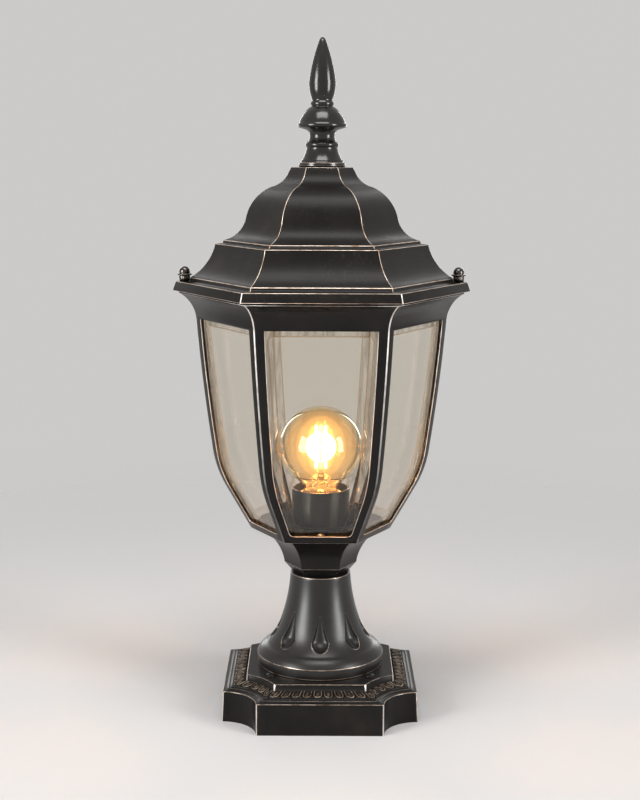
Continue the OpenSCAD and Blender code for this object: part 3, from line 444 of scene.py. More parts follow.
class Piece:
    """A mesh under construction, in millimetres."""

    def __init__(self, name):
        self.name = name
        self.bm = bmesh.new()
        new_layer = self.bm.edges.layers.float.new
        self.gold, self.soft, self.line = [new_layer(name + "_edge") for name in ("gold", "soft", "line")]

    def vert(self, p):
        return self.bm.verts.new((p[0] * MM, p[1] * MM, p[2] * MM))

    def face(self, *verts):
        """Adds a face, unless there is one between these vertices."""
        try:
            self.bm.faces.new(verts)
        except ValueError:
            pass

    def mark(self, a, b, gold=0.0, soft=0.0, line=0.0):
        """Marks an edge: gold is rubbed bare, and on the cage, sleeve and panes takes painted light
        instead; soft is rounded in the black; line is bright, on the cage and roof a painted highlight.
        """
        edge = self.bm.edges.get((a, b))
        if edge is not None:
            for layer, weight in ((self.gold, gold), (self.soft, soft), (self.line, line)):
                edge[layer] = weight or edge[layer]

    def mark_ring(self, ring, gold=0.0, soft=0.0, line=0.0):
        for a, b in zip(ring, ring[1:] + ring[:1]):
            self.mark(a, b, gold, soft, line)

    def refinish(self, corners, index):
        """Gives the face between these four vertices another of the piece's materials."""
        for face in corners[0].link_faces:
            if set(face.verts) == set(corners):
                face.material_index = index

    def rings(self, rings, weights=(), cap_first=False, cap_last=False):
        """Joins closed rings of points with quads. weights gives the gold of each ring's own edges."""
        made = [[self.vert(p) for p in ring] for ring in rings]
        count = len(made[0])
        for a, b in zip(made, made[1:]):
            for i in range(count):
                j = (i + 1) % count
                self.face(a[i], a[j], b[j], b[i])
        if cap_first:
            self.face(*reversed(made[0]))
        if cap_last:
            self.face(*made[-1])
        for ring, weight in zip(made, weights):
            self.mark_ring(ring, weight)
        return made

    def turned(self, rows, count=96, cap_first=False, cap_last=False, turn=0.0):
        """A round skin over (r, z, gold) rows."""
        rings = [round_ring(r, z, count, turn) for r, z, gold in rows]
        return self.rings(rings, [gold for *_, gold in rows], cap_first, cap_last)

    def hexagonal(self, rows, gold=0.0, soft=0.0):
        """A six-sided skin over (r, z, gold) rows; gold and soft mark its corners."""
        made = self.turned(rows, 6)
        for a, b in zip(made, made[1:]):
            for i in range(6):
                self.mark(a[i], b[i], gold, soft)
        return made

    def make(self, body, slot, materials, replaces=(), gold=0, soft=0, line=0, merge=0.002, clamp=True):
        """Makes the object. gold, soft and line are the widths to which marked edges are bevelled."""
        bmesh.ops.remove_doubles(self.bm, verts=self.bm.verts, dist=merge * MM)
        bmesh.ops.recalc_face_normals(self.bm, faces=self.bm.faces)
        mesh = bpy.data.meshes.new(self.name)
        self.bm.to_mesh(mesh)
        self.bm.free()
        obj = in_scene(self.name, mesh)
        for material in materials:
            mesh.materials.append(material)
        for polygon in mesh.polygons:
            polygon.use_smooth = True
        for layer, width, segments, material in (
            ("soft_edge", soft, 3, -1),
            ("gold_edge", gold, 2, 1),
            ("line_edge", line, 2, 2),
        ):
            if width:
                modifier = obj.modifiers.new(layer, "BEVEL")
                modifier.limit_method = "WEIGHT"
                modifier.edge_weight = layer
                modifier.width = width * MM
                modifier.segments = segments
                modifier.material = material
                modifier.harden_normals = True
                modifier.use_clamp_overlap = clamp
        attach(obj, body)
        if replaces:
            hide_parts(*replaces)


def in_scene(name, data):
    obj = bpy.data.objects.new(name, data)
    bpy.context.scene.collection.objects.link(obj)
    return obj


def dome_screw(piece, x, y, z, r, h, rim=0.35, steps=8, count=40):
    """A dome head of height h on a low rim."""
    dome = arc(r, h, z + rim, [90 * i / steps for i in range(steps)])
    piece.rings([round_ring(s, at_z, count, at=(x, y)) for s, at_z in [(r, z)] + dome], cap_last=True)


# Base

BASE_HALF = 70.7
NOTCH_R = 25.8
NOTCH_GROWTH = 0.92
ARC_STEPS = 20
SIDE_STEPS = 12
SCREW_D = 50.6
BAND_Z = 24.5
BAND_RISE = 2.4
BAND_W = 8.93


def inset(distance):
    """Half width and notch radius of the base's outline, set in by a distance."""
    return BASE_HALF - distance, NOTCH_R + distance * NOTCH_GROWTH


BAND_FOOT = inset(7.4)
BAND_HEAD = inset(16.0)


def notched_outline(half, notch, chamfer=0.8):
    """A square outline whose corners are cut by quarter rounds about the plinth's corners."""
    c = BASE_HALF
    meet = c - sqrt(max(notch * notch - (c - half) ** 2, 0.01))
    end = meet - chamfer
    quarter = [(-end + 2 * end * i / SIDE_STEPS, -half) for i in range(SIDE_STEPS + 1)]
    first = atan2(c - half, meet - c) - chamfer / notch
    last = atan2(c - meet, half - c) + chamfer / notch
    for i in range(ARC_STEPS + 1):
        a = first + (last - first) * i / ARC_STEPS
        quarter.append((c + notch * cos(a), -c + notch * sin(a)))
    points = []
    for side in range(4):
        turn = radians(90 * side)
        for x, y in quarter:
            points.append((x * cos(turn) - y * sin(turn), x * sin(turn) + y * cos(turn)))
    return points


def outline_rings(piece, levels, bright, cap=False):
    """Stacks notched outlines of (half width, notch radius, z, gold); bright steps have bright silver
    chamfers, painted highlights.
    """
    rings = [[(x, y, z) for x, y in notched_outline(half, notch)] for half, notch, z, gold in levels]
    made = piece.rings(rings, [gold for *_, gold in levels], cap_last=cap)
    quarter = SIDE_STEPS + ARC_STEPS + 2
    for low, high in [(made[step], made[step + 1]) for step in bright]:
        for side in range(4):
            for k in (SIDE_STEPS, quarter - 1):
                i = side * quarter + k
                j = (i + 1) % (4 * quarter)
                piece.refinish((low[i], low[j], high[i], high[j]), 2)


def base_piece():
    piece = Piece("base_casting")
    skirt = [
        (66, 30, 18, 0),
        (66, 30, 0, 0),
        (BASE_HALF, NOTCH_R, 0, 0.5),
        (69.6, 25.8, 22.5, 1),
        (68.9, 26.4, 22.7, 0),
        (67.6, 27.4, 22.8, 0),
        (66.6, 28.6, 23.1, 0),
        (65.9, 29.6, 23.8, 0.35),
        (*inset(7.2), 23.8, 0),
        (*BAND_FOOT, BAND_Z, 0.2),
    ]
    platform = [
        (*BAND_HEAD, BAND_Z + BAND_RISE, 0.3),
        (*inset(16.2), 25.9, 0),
        (*inset(17.4), 25.9, 0),
        (*inset(17.6), 30.7, 0),
        (*inset(17.9), PLATFORM_Z, 1),
    ]
    outline_rings(piece, skirt, [2])
    outline_rings(piece, platform, [2, 3], cap=True)
    # The bright steps' chamfers take a silver painted highlight.
    piece.make("lantern", "cast_paint", [ENAMEL, SOFT_EDGE, SILVER_HIGHLIGHT], ["base"], gold=0.26)


LOBES = 56
LOBE_STEPS = 24
LOBE_HALF = 3.1
LOBE_PITCH = 7.5
RIM_HALF = 0.5
EGG_HALF = 1.8
BAND_STEPS = 28
MARGIN = 1.3  # plain strip at the band's foot and head


def egg_and_dart(x, y):
    """Height of the carved band, at x from a lobe's middle and y from the band's foot."""
    centre_y = 1.0 + LOBE_HALF
    side = abs(x) - LOBE_HALF if y > centre_y else hypot(x, y - centre_y) - LOBE_HALF
    rim = arch(((side + RIM_HALF) / RIM_HALF) ** 2)
    egg = arch(((side + LOBE_HALF) / EGG_HALF) ** 2) * smooth_step(0.9, BAND_W - MARGIN - y)
    dart = arch(((LOBE_PITCH / 2 - abs(x)) / 0.9) ** 2 + ((y - MARGIN) / 0.8) ** 2)
    edge = smooth_step(0.4, y) * smooth_step(0.4, BAND_W - y)
    return (1.05 * rim + 0.8 * egg + 0.8 * dart - 0.5) * edge


def band_piece():
    """The carved band, raised square to its slope and with its relief kept for the gold."""
    piece = Piece("base_ornament_band")
    relief = piece.bm.verts.layers.float.new("relief")
    columns = LOBES * LOBE_STEPS
    foot = resample(notched_outline(*BAND_FOOT, 1.0), columns)
    head = resample(notched_outline(*BAND_HEAD, 1.0), columns)
    rings = []
    heights = []
    for row in range(BAND_STEPS + 1):
        v = row / BAND_STEPS
        ring = []
        for column, ((x0, y0), (x1, y1)) in enumerate(zip(foot, head)):
            u = (column + 0.5) / LOBE_STEPS
            rise = egg_and_dart((u % 1 - 0.5) * LOBE_PITCH, v * BAND_W)
            run = hypot(x1 - x0, y1 - y0)
            up, out = run / hypot(run, BAND_RISE), BAND_RISE / hypot(run, BAND_RISE)
            x = x0 + (x1 - x0) * v + (x0 - x1) / run * out * rise
            y = y0 + (y1 - y0) * v + (y0 - y1) / run * out * rise
            ring.append((x, y, BAND_Z + BAND_RISE * v + up * rise))
            heights.append(rise)
        rings.append(ring)
    made = piece.rings(rings)
    for vert, rise in zip((v for ring in made for v in ring), heights):
        vert[relief] = rise
    piece.make("lantern", "cast_paint", [BAND], merge=0.0001)


def base_screw_piece():
    piece = Piece("base_screw_heads")
    for i in range(4):
        a = radians(45 + 90 * i)
        dome_screw(piece, SCREW_D * cos(a), SCREW_D * sin(a), PLATFORM_Z, 3.2, 1.85)
    piece.make("lantern", "dark_screw", [ENAMEL], ["base_screws"])


# Column

COLUMN_FOOT_Z = 39.0
COLUMN_ROWS = (
    [(46.0, PLATFORM_Z), (46.6, PLATFORM_Z + 0.8), (46.6, COLUMN_FOOT_Z)]
    + bow((46.1, 39.8), (39.6, 46.2), -0.7, 6)
    + bow((39.6, 46.2), (28.9, 63.5), 1.25, 16)[1:]
    + bow((28.9, 63.5), (22.0, 99.2), 1.2, 16)[1:]
    + [(21.6, 99.6)]
)
COLUMN_BORE = 18.0
FLUTES = 8
FLUTE_Z = 54.4
FLUTE_R = 6.4
FLUTE_TIP = 73.5
FLUTE_MIDDLE = FLUTE_Z + 2.0
FLUTE_SINK = 0.74  # depth of a flute over its half width
PATCH_LOW = 46.2
PATCH_HIGH = 76.0
PATCH_COLUMNS = 14
PATCH_ROWS = 16
PATCH_TURN = -pi / 2 - pi / FLUTES
SKIN_LOOPS = 6
SINK_LOOPS = 10


def flute_half(z):
    """Half width of a teardrop flute at height z."""
    if z < FLUTE_Z:
        return sqrt(max(FLUTE_R**2 - (z - FLUTE_Z) ** 2, 0))
    t = min((z - FLUTE_Z) / (FLUTE_TIP - FLUTE_Z), 1)
    return FLUTE_R * (1 - t) ** 0.85 * (1 - 0.18 * sin(pi * t))


def flute_outline(steps=28, fine=24):
    """Closely spaced points round a teardrop, from its lowest point up its right side and down its left."""
    coarse = []
    for i in range(steps):
        a = -pi / 2 + pi * i / steps
        if a <= 0:
            coarse.append((FLUTE_R * cos(a), FLUTE_Z + FLUTE_R * sin(a)))
        else:
            z = FLUTE_Z + (FLUTE_TIP - FLUTE_Z) * (a / (pi / 2))
            coarse.append((flute_half(z), z))
    coarse.append((0.0, FLUTE_TIP))
    coarse += [(-x, z) for x, z in reversed(coarse[1:-1])]
    points = []
    for (x0, z0), (x1, z1) in zip(coarse, coarse[1:] + coarse[:1]):
        points += [(x0 + (x1 - x0) * i / fine, z0 + (z1 - z0) * i / fine) for i in range(fine)]
    return points


def patch_border():
    """Border of a patch as (angle share, z), from the middle of its foot round to the left."""
    columns, rows = PATCH_COLUMNS, PATCH_ROWS
    border = (
        [(-1 + 2 * i / columns, PATCH_LOW) for i in range(columns)]
        + [(1, PATCH_LOW + (PATCH_HIGH - PATCH_LOW) * i / rows) for i in range(rows)]
        + [(1 - 2 * i / columns, PATCH_HIGH) for i in range(columns)]
        + [(-1, PATCH_HIGH - (PATCH_HIGH - PATCH_LOW) * i / rows) for i in range(rows)]
    )
    start = columns // 2
    return border[start:] + border[:start]


def shares_round(points):
    """Share of a closed outline's length at each point."""
    lengths = lengths_round(points)
    return [s / lengths[-1] for s in lengths[:-1]]


def flute_rim(border, half_width=14.0):
    """The teardrop's point for each border point, at the same share of the way round."""
    outline = flute_outline()
    shares = shares_round(outline)
    rim = []
    for s in shares_round([(x * half_width, z) for x, z in border]):
        gaps = [min(abs(share - s), 1 - abs(share - s)) for share in shares]
        rim.append(outline[gaps.index(min(gaps))])
    return rim


def on_column(x, z, depth=0.0):
    """A point of the column's skin. x is the angle share across a patch, -1 to 1."""
    a = PATCH_TURN + pi / FLUTES * (1 + x)
    r = radius_in(COLUMN_ROWS, z) - depth
    return (r * cos(a), r * sin(a), z)


def angle_share(x, z):
    """A flat x in mm as an angle share at height z."""
    return x / (pi / FLUTES * radius_in(COLUMN_ROWS, z))


def column_piece():
    """A turned skin, in which each of eight patches is meshed round its teardrop flute."""
    piece = Piece("column_casting")
    count = FLUTES * PATCH_COLUMNS
    below = [(r, z, 0.9 if z == COLUMN_FOOT_Z else 0) for r, z in COLUMN_ROWS if z < PATCH_LOW + 0.01]
    above = [(radius_in(COLUMN_ROWS, PATCH_HIGH), PATCH_HIGH, 0)]
    above += [(r, z, 0) for r, z in COLUMN_ROWS if z > PATCH_HIGH + 0.5]
    above[-2] = (*above[-2][:2], 0.7)
    foot = piece.turned([(20.0, PLATFORM_Z, 0)] + below, count, turn=PATCH_TURN)
    piece.mark_ring(foot[2], line=1)
    piece.turned(above + [(COLUMN_BORE, CUP_Z, 0)], count, turn=PATCH_TURN)

    border = patch_border()
    rim = flute_rim(border)
    for flute in range(FLUTES):
        shift = 2 * flute
        loops = []
        for k in range(SKIN_LOOPS):
            t = (k / (SKIN_LOOPS - 1)) ** 0.8
            loop = []
            for (bx, bz), (x, z) in zip(border, rim):
                loop.append(on_column(bx + (angle_share(x, z) - bx) * t + shift, bz + (z - bz) * t))
            loops.append(loop)
        for k in range(1, SINK_LOOPS + 1):
            t = 1 - (k / (SINK_LOOPS + 0.5)) ** 1.25
            loop = []
            for rim_x, rim_z in rim:
                x, z = rim_x * t, FLUTE_MIDDLE + (rim_z - FLUTE_MIDDLE) * t
                depth = FLUTE_SINK * sqrt(max(flute_half(z) ** 2 - x * x, 0.0))
                loop.append(on_column(angle_share(x, z) + shift, z, depth))
            loops.append(loop)
        lip = piece.rings(loops, cap_last=True)[SKIN_LOOPS - 1]
        # The lower rims get faint rubbed gold, which also stands for the highlight they catch: partly wear,
        # partly painted highlight.
        for a, b in zip(lip, lip[1:] + lip[:1]):
            if max(a.co.z, b.co.z) < (FLUTE_Z + 1.0) * MM:
                piece.mark(a, b, gold=0.6)
            else:
                piece.mark(a, b, soft=1)
    widths = {"gold": 0.3, "soft": 0.35, "line": 0.34}
    finishes = [SATIN, SOFT_EDGE, EDGE]
    piece.make("lantern", "cast_paint", finishes, ["column"], merge=0.02, clamp=False, **widths)


# Cup


def cup_piece():
    piece = Piece("cup_casting")
    rows = marked(
        (12, CUP_Z),
        (20.5, CUP_Z, 0.3),
        (26.8, CUP_Z + 7, 0.45),
        (27, CUP_Z + 9),
        bow((27.3, CUP_Z + 10.2), (43, CAGE_Z - 1.2), 2.6, 14),
        (43, CAGE_Z),
        (38, CAGE_Z),
    )
    piece.hexagonal(rows, soft=1)
    piece.make("lantern", "cast_paint", [RIBS, SOFT_EDGE], ["cup"], gold=0.3, soft=0.9)


# Cage

HEAD_Z = 286.2
SILL_Z = 137.5
WALL = 2.5
WALL_R = WALL / FLAT  # the wall as a difference of corner radii
RIB_HALF = 6.0
RIB_GROWTH = 1.2
SPIGOT_H = 3.1
CORNER_R = 2.4
FOOT_R = 51.1
FOOT_BORE = 24.0
FLOOR_BORE = 20.0
COVE_STEPS = 12
# Corner radius and height of the cage's side, from the underside to the window's head
CAGE_ROWS = (
    [(FOOT_R, CAGE_Z), (69.0, CAGE_Z + 31.0)]
    + bow((69.0, CAGE_Z + 31.0), (79.2, CAGE_Z + 62.1), -1.7, 12)[1:]
    + bow((79.2, CAGE_Z + 62.1), (89.9, HEAD_Z), -0.8, 16)[1:]
)


def cage_r(z):
    return radius_in(CAGE_ROWS, z)


def window_half(z):
    """Half width of the window at height z, with its lower corners rounded."""
    low = z - SILL_Z
    half = cage_r(z) / 2 - RIB_HALF - RIB_GROWTH * (low / (HEAD_Z - SILL_Z))
    if low < CORNER_R:
        half -= CORNER_R - sqrt(max(CORNER_R**2 - (CORNER_R - low) ** 2, 0))
    return half


def window_heights():
    corner = [SILL_Z + CORNER_R * (1 - cos(radians(a))) for a in (0, 22, 42, 62, 90)]
    above = [z for _, z in CAGE_ROWS if z > SILL_Z + CORNER_R + 0.6]
    between = [143.0 + 3.5 * i for i in range(6)]
    return sorted({round(z, 4) for z in corner + above + between})


def side_row(piece, side, r, z, *xs):
    """Vertices at each x on one of the six sides, whose corners lie at radius r. Without x: its corners."""
    xs = xs or (-r / 2, r / 2)
    return [piece.vert(p) for p in on_side(side, [(x, -r * FLAT, z) for x in xs])]


def cage_piece():
    """Six sides with a window in each, an inner skin, the reveals between them, and the cove and rim."""
    piece = Piece("cage_casting")
    cove = marked(
        bow((89.9, HEAD_Z), (101.4, ROOF_Z - 2.0), 2.6, COVE_STEPS)[1:],
        (101.8, ROOF_Z - 2.0, 0.25),
        (101.8, ROOF_Z),
        (94.5, ROOF_Z),
        (94.5, ROOF_Z + SPIGOT_H),
        (86.9, ROOF_Z + SPIGOT_H),
        (86.9, HEAD_Z + 0.6),
    )
    sill = 0.8 * window_half(SILL_Z)
    floor_r = cage_r(TRAY_Z) - WALL_R
    for side in range(6):
        skins = []
        for wall in (0.0, WALL_R):
            rows = []
            for z in window_heights():
                r, w = cage_r(z) - wall, window_half(z)
                rows.append(side_row(piece, side, r, z, -r / 2, -w, w, r / 2))
            for a, b in zip(rows, rows[1:]):
                piece.face(a[0], a[1], b[1], b[0])
                piece.face(a[2], a[3], b[3], b[2])
            skins.append(rows)
        outer, inner = skins
        # reveals
        for a, b, c, d in zip(outer, outer[1:], inner, inner[1:]):
            for k in (1, 2):
                piece.face(a[k], b[k], d[k], c[k])
        for a, c in ((outer[0], inner[0]), (outer[-1], inner[-1])):
            piece.face(a[1], a[2], c[2], c[1])
        # below the sill, and the cage's floor
        foot = side_row(piece, side, FOOT_R, CAGE_Z, -FOOT_R / 2, -sill, sill, FOOT_R / 2)
        # the foot's edges and corners take painted highlights: silver lines, and the ribs' line
        for k in range(3):
            piece.face(foot[k], foot[k + 1], outer[0][k + 1], outer[0][k])
            piece.mark(foot[k], foot[k + 1], 0.3)
        for k in (0, 3):
            piece.mark(foot[k], outer[0][k], line=1.0)
        centre = side_row(piece, side, FOOT_BORE, CAGE_Z)
        piece.face(*foot, centre[1], centre[0])
        low = side_row(piece, side, floor_r, TRAY_Z)
        piece.face(*inner[0], low[1], low[0])
        hub = side_row(piece, side, FLOOR_BORE, TRAY_Z)
        piece.face(low[0], low[1], hub[1], hub[0])
        # cove, rim and spigot
        last = outer[-1]
        for i, (r, z, gold) in enumerate(cove):
            row = side_row(piece, side, r, z)
            piece.face(*last, row[1], row[0])
            # the cove's corners carry the ribs' painted highlight line
            if i < COVE_STEPS:
                piece.mark(last[0], row[0], line=0.8)
                piece.mark(last[-1], row[1], line=0.8)
            piece.mark(row[0], row[1], gold)
            last = row
        piece.face(*last, *reversed(inner[-1]))
        # silver lines round the window and a bright line along the ribs: painted highlights, the ribs'
        # fading out downwards
        for a, b in zip(outer, outer[1:]):
            for k in (1, 2):
                piece.mark(a[k], b[k], 0.5)
            for k in (0, 3):
                piece.mark(a[k], b[k], line=1.0)
        for row in (outer[0], outer[-1]):
            piece.mark(row[1], row[2], 0.5)
    # Gold edges take a silver painted highlight, and line edges the ribs' painted highlight, which fades
    # out downwards.
    finishes = [RIBS, SILVER_HIGHLIGHT, RIB_HIGHLIGHT]
    piece.make("lantern", "cast_paint", finishes, ["cage"], gold=0.75, line=0.75, merge=0.01, clamp=False)


# Glass

GAP = 0.2
PANE_T = 2.6
PANE_EDGE_T = 1.3
PANE_TUCK = 5.0  # how far a pane reaches up behind the window's head
PANE_STEPS = 44
BEVEL_W = 9.0
PANE_SIDE = 1.8


def pane_piece(index):
    """A pane that is curved upwards and flat across, bevelled on the inside along its edges."""
    piece = Piece(f"bevelled_pane_{index}")
    foot, head = TRAY_Z + GAP, HEAD_Z + PANE_TUCK
    low, high = foot + BEVEL_W, head - BEVEL_W
    rings = []
    for z in [foot] + [low + (high - low) * i / PANE_STEPS for i in range(PANE_STEPS + 1)] + [head]:
        r = cage_r(z) - WALL_R - GAP / FLAT
        w, flat_w = r / 2 - PANE_SIDE, r / 2 - PANE_SIDE - BEVEL_W
        outside = -r * FLAT
        edge = outside + PANE_EDGE_T
        inside = edge if z in (foot, head) else outside + PANE_T
        outline = ((-w, outside), (w, outside), (w, edge), (flat_w, inside), (-flat_w, inside), (-w, edge))
        rings.append(on_side(index - 1, [(x, y, z) for x, y in outline]))
    made = piece.rings(rings, (), True, True)
    for a, b in zip(made, made[1:]):
        at_end = a is made[0] or b is made[-1]
        for k in range(6):
            piece.mark(a[k], b[k], 1.0)
        for k in (2, 3, 4) if at_end else (2, 4):
            piece.refinish((a[k], a[k + 1], b[k], b[k + 1]), 2)
    for ring in (made[0], made[-1]):
        piece.mark_ring(ring, 1.0)
    for ring in (made[1], made[-2]):
        piece.mark(ring[3], ring[4], 1.0)
    # The cut edges and bevel bands carry painted light: an orange tint, and a brown tint with light
    # streaks.
    finishes = [PANE, PANE_EDGE, PANE_BAND]
    piece.make("lantern", "pane_glass", finishes, [f"glass_pane_{index}"], gold=0.5)


# Clips, tray and lampholder

CLIP_HALF = 4.4
CLIP_T = 0.8
CLIP_H = 13.2
CLIP_CUT = 1.5
CLIP_PLAY = 0.1
TRAY_T = 1.3
TRAY_BORE = 17.3
TRAY_SCREW_D = 37.0
TAB_HALF = 3.5
# Heights above the tray's underside and half widths of an upturned tab
TAB_ROWS = ((1.0, TAB_HALF), (5.2, TAB_HALF), (6.0, 3.2), (6.3, 2.6))


def clip_piece():
    """Short flat strips with cut corners that hold the heads of two panes each, out of sight behind the
    window's head.
    """
    piece = Piece("pane_clip_strips")
    corner = cage_r(HEAD_Z) - (WALL + GAP + PANE_T) / FLAT
    back = corner - (CLIP_HALF + CLIP_PLAY) / CORNER_TAN - 0.4
    low, high = HEAD_Z + 0.8, HEAD_Z + 0.8 + CLIP_H
    w, flat_w = CLIP_HALF, CLIP_HALF - 1.4
    outline = [(-w, low + CLIP_CUT), (-flat_w, low), (flat_w, low), (w, low + CLIP_CUT)]
    outline += [(w, high - CLIP_CUT), (flat_w, high), (-flat_w, high), (-w, high - CLIP_CUT)]
    for side in range(6):
        rings = [on_side(side, [(x, y, z) for y, z in outline]) for x in (back - CLIP_T, back)]
        made = piece.rings(rings, (), True, True)
        piece.mark_ring(made[0], soft=1)
    piece.make("lantern", "brass", [BRASS], ["pane_clips"], soft=0.25)


def tray_piece():
    """The flat hexagon of the lamp chamber's bottom, with an upturned tab at each corner."""
    piece = Piece("tray_sheet")
    r = cage_r(TRAY_Z) - WALL_R - (GAP + PANE_T) / FLAT - 0.4
    top = TRAY_Z + TRAY_T
    piece.hexagonal([(TRAY_BORE, TRAY_Z, 0), (r, TRAY_Z, 0), (r, top, 0.8), (TRAY_BORE, top, 0)])
    x = r - TAB_HALF / CORNER_TAN - 1
    for side in range(6):
        rings = []
        for height, w in TAB_ROWS:
            z = TRAY_Z + height
            rings.append(on_side(side, ((x, -w, z), (x + 1, -w, z), (x + 1, w, z), (x, w, z))))
        made = piece.rings(rings, cap_last=True)
        piece.mark_ring(made[-1], 0.8)
    piece.make("lantern", "tray_paint", [ENAMEL, SOFT_EDGE], ["tray"], gold=0.18)


def tray_screw_piece():
    piece = Piece("tray_screw_heads")
    for y in (-TRAY_SCREW_D, TRAY_SCREW_D):
        dome_screw(piece, 0, y, SLEEVE_Z, 2.7, 1.15)
    piece.make("lantern", "zinc_steel", [ZINC], ["tray_screws"])


def sleeve_piece():
    piece = Piece("holder_sleeve_shell")
    rows = marked(
        (17.4, SLEEVE_Z),
        bow((19.0, SLEEVE_Z), (21.0, SLEEVE_Z + 2.0), -0.58, 6),
        (21.0, SLEEVE_TOP_Z - 0.5),
        # The top's marked edges take a painted highlight of the bulb's light on the rim.
        (20.6, SLEEVE_TOP_Z, 1),
        (19.8, SLEEVE_TOP_Z, 1),
        (19.4, SLEEVE_TOP_Z - 0.5),
        (19.4, SLEEVE_Z + 1.6),
        (17.4, SLEEVE_Z + 1.6),
    )
    piece.turned(rows, 120)
    piece.make("lantern", "black_sleeve", [SLEEVE, SLEEVE_RIM_HIGHLIGHT], ["holder_sleeve"], gold=0.2)


# Bulb

GLOBE_R = 30.0
GLASS_T = 0.8
NECK_R = 12.4
NECK_Z = 157.7
POLE_R = 0.8  # the globe ends in a small flat face at its top
STRIP_D = 5.0
STRIP_H = 30.0
# Radius and height of the wires below and above the strips
LOW_WIRE = ((2.0, 171.0), (3.2, 173.5), (4.6, 175.8), (5.0, 177.9))
HIGH_WIRE = ((1.2, GLOBE_Z + 14.2), (3.0, GLOBE_Z + 15.6), (4.6, GLOBE_Z + 15.4), (5.0, GLOBE_Z + 14.8))
# Shells of the painted glow: name, radius, half height, light and its strength, tint and its density
PAINTED_GLOW_SHELLS = (
    ("halo", 26.0, 27.5, (1.0, 0.60, 0.23), 10, (1.0, 0.74, 0.38), 19),
    ("haze", 18.5, 23.0, (1.0, 0.64, 0.27), 22, (1.0, 0.76, 0.42), 14),
    ("heart", 11.5, 19.5, (1.0, 0.74, 0.38), 34, (1.0, 0.9, 0.7), 1),
    ("core", 5.6, 17.0, (1.0, 0.90, 0.70), 220, (1.0, 0.9, 0.7), 1),
)


def globe_profile(depth):
    """Neck and globe as (r, z) points, at a depth under the outside."""
    g = GLOBE_R - depth
    globe = arc(g, g, GLOBE_Z, range(-44, 88, 4))
    neck = NECK_R - depth
    shoulder = bow((neck, NECK_Z + 3.7), globe[0], 1.6, 14)
    return [(neck, NECK_Z)] + shoulder + globe[1:] + [(POLE_R, GLOBE_Z + g - 0.02)]


def bulb_glass_piece():
    piece = Piece("bulb_globe")
    outer = piece.turned(marked(globe_profile(0)), cap_last=True)
    inner = piece.turned(marked(globe_profile(GLASS_T)[::-1]), cap_first=True)
    for a, b, c, d in zip(outer[0], outer[0][1:] + outer[0][:1], inner[-1][1:] + inner[-1][:1], inner[-1]):
        piece.face(a, b, c, d)
    piece.make("bulb", "amber_glass", [AMBER], ["bulb_glass"])


def stem_piece():
    piece = Piece("bulb_stem_press")
    rows = marked(
        (11.3, 158.2),
        bow((10.4, 160.7), (3.2, 167.7), 2, 8),
        (2.6, 169),
        (2.6, 171.6),
        (2.2, 173.4),
        (1, 174.6),
        (0.9, GLOBE_Z + 13),
        (1.5, GLOBE_Z + 14.2),
        (0.6, GLOBE_Z + 15),
    )
    piece.turned(rows, 40, True, True)
    piece.make("bulb", "stem_glass", [STEM], ["bulb_stem"])


def tube(piece, points, r, count):
    """A round wire along points."""
    rings = []
    for i, p in enumerate(points):
        a = Vector(points[max(i - 1, 0)])
        b = Vector(points[min(i + 1, len(points) - 1)])
        along = (b - a).normalized()
        side = along.cross(Vector((0.3, 0.2, 1)) if abs(along.z) < 0.9 else Vector((1, 0, 0))).normalized()
        up = along.cross(side)
        out = [side * cos(t) + up * sin(t) for t in angles(count)]
        rings.append([tuple(Vector(p) + way * r) for way in out])
    piece.rings(rings, (), True, True)


def at_strips(*rows):
    """Points at the (r, z) rows, above each other on the way out to each of the four strips."""
    ways = [(cos(radians(a)), sin(radians(a))) for a in (45, 135, 225, 315)]
    return [[(r * c, r * s, z) for r, z in rows] for c, s in ways]


def filament_piece():
    piece = Piece("bulb_light_strips")
    low = GLOBE_Z - STRIP_H / 2
    for points in at_strips(*((STRIP_D, low + STRIP_H * k / 10) for k in range(11))):
        tube(piece, points, 0.9, 12)
    piece.make("bulb", "filament", [FILAMENT], ["bulb_filaments"])


def lead_piece():
    """The wires that carry the strips, from the stem's press up to them."""
    piece = Piece("bulb_support_wires")
    for wires in zip(at_strips(*LOW_WIRE), at_strips(*HIGH_WIRE)):
        for points in wires:
            tube(piece, points, 0.28, 8)
    piece.make("bulb", "cap_metal", [LEAD])


def painted_glow_pieces():
    """A painted glow round the strips, in shells that grow brighter inwards."""
    for name, r, half, colour, strength, tint, density in PAINTED_GLOW_SHELLS:
        piece = Piece("bulb_painted_glow_" + name)
        piece.turned(marked(arc(r, half, GLOBE_Z, range(-88, 89, 8))), 48, True, True)
        piece.make("bulb", "amber_glass", [painted_glow("glow_" + name, colour, strength, tint, density)])


# Roof

KNOB_D = 97.6
EAVE_H = 6.6
KNURL = 0.22
BALL_R = 4.0
BALL_H = 6.6


